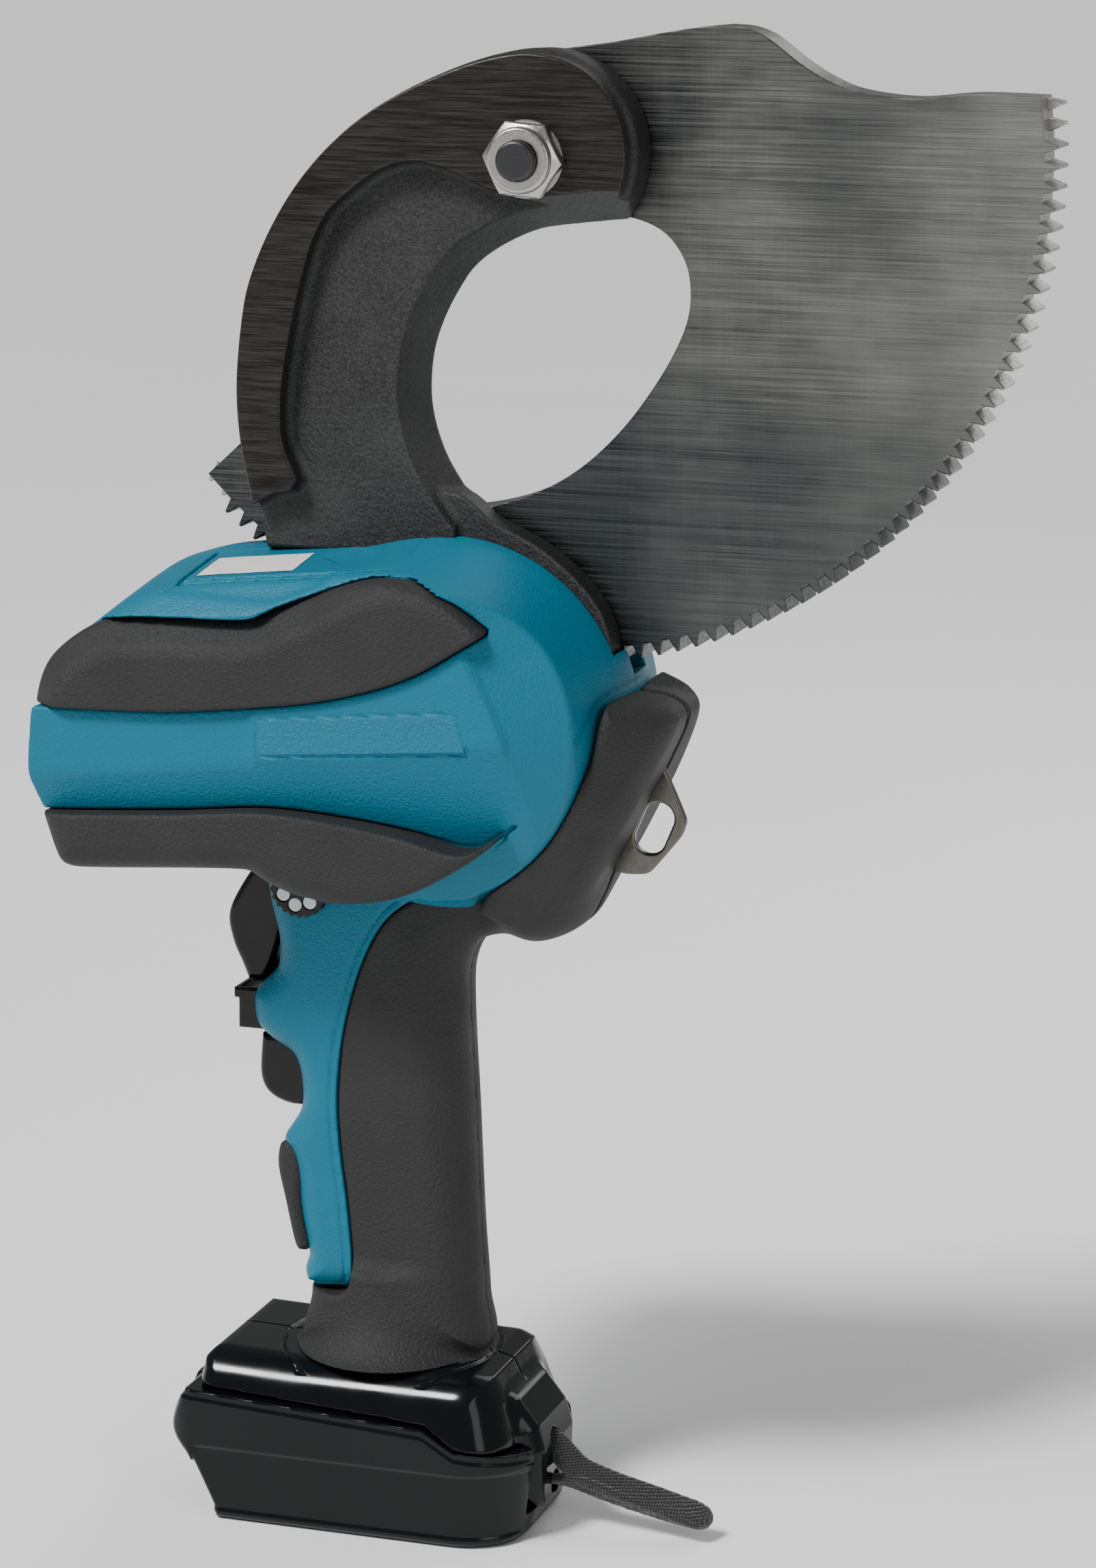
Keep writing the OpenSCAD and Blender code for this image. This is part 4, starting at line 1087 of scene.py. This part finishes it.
skin("pivot_bolt", bolt_field, (37, -35, 416), (65, 26, 444), 0.5, slot="dark_steel")

# ---- hook plate ----

hook_side = smooth([
    (66.5, 215, 1), (76.5, 212.5), (78.5, 212.2), (84, 212.6), (86.4, 213.6), (95.6, 225), (97, 228.2),
    (97.2, 230.6), (90, 246.4), (88.6, 248), (86, 247.6), (66.5, 236, 1),
], 1)

# The eye is a slot about (EYE_X, EYE_Z), long in the direction (EYE_COS, EYE_SIN)
EYE_X, EYE_Z = 87.3, 227.2
EYE_COS, EYE_SIN = 0.376, 0.926
EYE_R, EYE_HALF = 4.9, 3.45


def hook_field(x, y, z):
    f = isect(poly(x, z, hook_side), np.abs(y) - 1.45, 0.7)
    a, b = x - EYE_X, z - EYE_Z
    along = a * EYE_COS + b * EYE_SIN
    across = a * EYE_SIN - b * EYE_COS
    return minus(f, radius(across, np.maximum(np.abs(along) - EYE_HALF, 0)) - EYE_R, 0.7)


skin("hook_plate", hook_field, (66, -3, 209), (99, 3, 250), 0.4, slot="zinc_steel")

# ---- triggers, lock slide and dial ----

lower_side = smooth([
    (-39.1, 152.6, 1), (-39.8, 140.5), (-38.4, 135), (-34.6, 131.6), (-28.4, 129.9), (-22.6, 130.6, 1),
    (-22.6, 152.6, 1),
], 1.5)
lock_side = [(-46.6, 164.6), (-46.6, 168), (-34, 168), (-34, 155), (-45, 155), (-45, 164.6)]


def lower_trigger_field(x, y, z):
    return isect(poly(x, z, lower_side), np.abs(y) - 6.8, 2.4)


def upper_trigger_field(x, y, z):
    f = isect(poly(x, z, upper_side), np.abs(y) - 6.8, 2.6)
    return minus(f, radius(x - HINGE_X, z - HINGE_Z) - 1.7)


def lock_field(x, y, z):
    f = isect(poly(x, z, lock_side), np.abs(y) - 11, 0.9)
    return minus(f, isect(isect(np.abs(x + 41.2) - 3.6, 166.4 - z), np.abs(y) - 9), 0.4)


skin("lower_trigger", lower_trigger_field, (-41, -8, 128), (-21, 8, 154), 0.5, body="lower_trigger",
     slot="black_plastic", material=trigger_black)
skin("upper_trigger", upper_trigger_field, (-52, -8, 168), (-28, 8, 212), 0.5, body="upper_trigger",
     slot="black_plastic", material=trigger_black)
skin("lock_slide", lock_field, (-48, -12, 154), (-33, 12, 169), 0.4, body="lock", slot="black_plastic",
     material=trigger_black)

SPOT_COUNT, SPOT_CIRCLE, SPOT_R = 7, 5.7, 2.3
SPOT_TURNS = [k * math.tau / SPOT_COUNT for k in range(SPOT_COUNT)]
SPOTS = [(SPOT_CIRCLE * math.cos(t), SPOT_CIRCLE * math.sin(t)) for t in SPOT_TURNS]


def dial_field(x, y, z):
    """Ribbed disc on a short stem, with a shallow dish for each spot."""
    a, b = x - DIAL_X, z - DIAL_Z
    r = radius(a, b)
    ribs = 0.35 * np.cos(22 * np.arctan2(b, a))
    f = isect(r - 9.4 + ribs, slab(y, -23.6, -20.2), 0.5)
    f = union(f, isect(r - 3, slab(y, -21, -16.2)), 0.2)
    for u, v in SPOTS:
        f = minus(f, isect(radius(a - u, b - v) - SPOT_R, y + 22.9), 0.1)
    return f


def spots_field(x, y, z):
    """The pale spots that fill the dial's dishes."""
    f = 1e3
    for u, v in SPOTS:
        d = radius(x - DIAL_X - u, z - DIAL_Z - v)
        f = np.minimum(f, isect(d - SPOT_R + 0.1, slab(y, -23.5, -22.6), 0.3))
    return f


skin("mode_dial", dial_field, (-31, -25, 194), (-9, -15, 216), 0.35, body="dial", slot="black_plastic",
     material=trigger_black)
shape("dial_spots", spots_field, (-31, -25, 194), (-9, -22, 216), 0.3, body="dial", slot="black_plastic",
      material=white)

# ---- wrist strap ----


def through(points, twist, pieces=8):
    """A smooth line through the points, with the twist shared out along it."""
    fine, turn = [], []
    last = len(points) - 1
    for i in range(last):
        a, b, c, d = points[max(i - 1, 0)], points[i], points[i + 1], points[min(i + 2, last)]
        for k in range(pieces):
            t = k / pieces
            cubic = (3 * b - a - 3 * c + d) * t**3
            fine.append(0.5 * (2 * b + (c - a) * t + (2 * a - 5 * b + 4 * c - d) * t**2 + cubic))
            turn.append(twist[i] * (1 - t) + twist[i + 1] * t)
    return np.array(fine + [points[-1]]), turn + [twist[-1]]


def strap_profile(width, thick, cols=12):
    """Cross-section of the strap, thinner towards its edges."""
    across = [k / cols * 2 - 1 for k in range(cols + 1)]
    top = [(u * width / 2, thick / 2 * (1 - 0.35 * u**8)) for u in across]
    return top + [(u, -v) for u, v in reversed(top)]


def ribbon(name, path, width, thick, twist, **kw):
    """A flat woven strap swept along (x, y, z) points; twist turns its width at each point, in degrees."""
    line, turn = through(np.array(path, float), twist)
    tangent = np.gradient(line, axis=0)
    tangent /= np.linalg.norm(tangent, axis=1)[:, None]
    profile = strap_profile(width, thick)
    n = len(profile)
    pts, faces = [], []
    for i, (c, t, a) in enumerate(zip(line, tangent, turn)):
        side = np.array([0.0, 1.0, 0.0])
        side = side - t * side.dot(t)
        side /= np.linalg.norm(side)
        up = np.cross(t, side)
        cos_a, sin_a = math.cos(math.radians(a)), math.sin(math.radians(a))
        side, up = side * cos_a + up * sin_a, up * cos_a - side * sin_a
        for k, (u, v) in enumerate(profile):
            rib = 1 + 0.10 * math.sin(i * 1.6) * (1 if k % 2 else -1)
            pts.append(c + side * u + up * v * rib)
    for i in range(len(line) - 1):
        for k in range(n):
            j = (k + 1) % n
            faces.append((i * n + k, i * n + j, (i + 1) * n + j, (i + 1) * n + k))
    faces.append(list(range(n))[::-1])
    faces.append([(len(line) - 1) * n + k for k in range(n)])
    mesh(name, pts, faces, **kw)


ribbon("wrist_strap_skin",
       [(55, -3.4, 27), (58.5, -3.4, 26.6), (62.5, -4, 23), (67, -4, 19.2), (73, -3.8, 16.8),
        (80, -3.6, 14.8), (90, -3.5, 12.6), (99, -3.5, 10.6), (104.5, -3.5, 9.4), (107.2, -3.5, 7.8),
        (106.2, -3.5, 5.6), (100, -3.5, 6.4), (92, -3.5, 8.2), (82, -3.6, 10.6), (73, -3.8, 13.2),
        (67, -4, 14.8), (61, -3.6, 15), (54, -3.2, 14.4)],
       8.4, 2.9, [40, 44, 50, 52, 50, 44, 38, 30, 24, 20, 20, 28, 36, 42, 48, 46, 30, 16],
       slot="webbing", stands_for=("wrist_strap",))

# ---- blank label on the roof ----

LABEL_X, LABEL_Y, LABEL_LONG, LABEL_WIDE = -47, -39, 31, 19
LABEL_ROWS = 9


def roof_height(x, y):
    """Height of the roof above a point, found on the field."""
    z = np.linspace(280, 318, 400)
    f = left_field(np.full(400, float(x)), np.full(400, float(y)), z)
    return z[np.where(f < 0)[0].max()]


def blank_label():
    """A thin sheet that follows the roof a quarter of a millimetre above it."""
    pts, faces = [], []
    for i in range(LABEL_ROWS):
        for j in range(LABEL_ROWS):
            x = LABEL_X + LABEL_LONG * (i / (LABEL_ROWS - 1))
            y = LABEL_Y + LABEL_WIDE * (j / (LABEL_ROWS - 1))
            pts.append((x, y, roof_height(x, y) + 0.25))
    for i in range(LABEL_ROWS - 1):
        for j in range(LABEL_ROWS - 1):
            k = i * LABEL_ROWS + j
            faces.append((k, k + LABEL_ROWS, k + LABEL_ROWS + 1, k + 1))
    mesh("blank_label", pts, faces, material=paper, slot="teal_plastic")


blank_label()

# ---- floor and light ----

floor_mat = Nodes("floor", 0.75)
floor_mat.paint(floor_mat.mix(floor_mat.noise(3, 2), (0.86, 0.86, 0.86), (0.9, 0.9, 0.9)))
floor_pts = [(-30, -8, 0), (30, -8, 0), (30, 45, 0), (-30, 45, 0)]
floor = bpy.data.meshes.new("floor")
floor.from_pydata(floor_pts, [], [(0, 1, 2, 3)])
floor.materials.append(floor_mat.mat)
floor_obj = bpy.data.objects.new("floor", floor)
bpy.context.scene.collection.objects.link(floor_obj)


def lamp(name, where, at, size, watts):
    """A square soft light at one place, turned towards another."""
    data = bpy.data.lights.new(name, "AREA")
    data.size = size
    data.energy = watts
    obj = bpy.data.objects.new(name, data)
    obj.location = where
    d = np.array(at) - np.array(where)
    yaw = math.atan2(d[1], d[0])
    obj.rotation_euler = (math.acos(-d[2] / np.linalg.norm(d)), 0, yaw - math.pi / 2)
    bpy.context.scene.collection.objects.link(obj)


lamp("key", (-0.8, -0.9, 1.5), (0, 0, 0.25), 0.7, 14)
lamp("fill", (1.3, -1.0, 0.8), (0.05, 0, 0.25), 0.8, 5)
lamp("back", (0.6, 1.2, 1.1), (0.05, 0, 0.3), 1.0, 8)
sun = bpy.data.lights.new("sun", "SUN")
sun.energy = 3.1
sun.angle = math.radians(12)
sun_obj = bpy.data.objects.new("sun", sun)
sun_obj.rotation_euler = (math.radians(32), math.radians(-22), 0)
bpy.context.scene.collection.objects.link(sun_obj)
world = bpy.data.worlds.new("studio")
world.use_nodes = True
world.node_tree.nodes["Background"].inputs[0].default_value = (1, 1, 1, 1)
world.node_tree.nodes["Background"].inputs[1].default_value = 0.26
bpy.context.scene.world = world
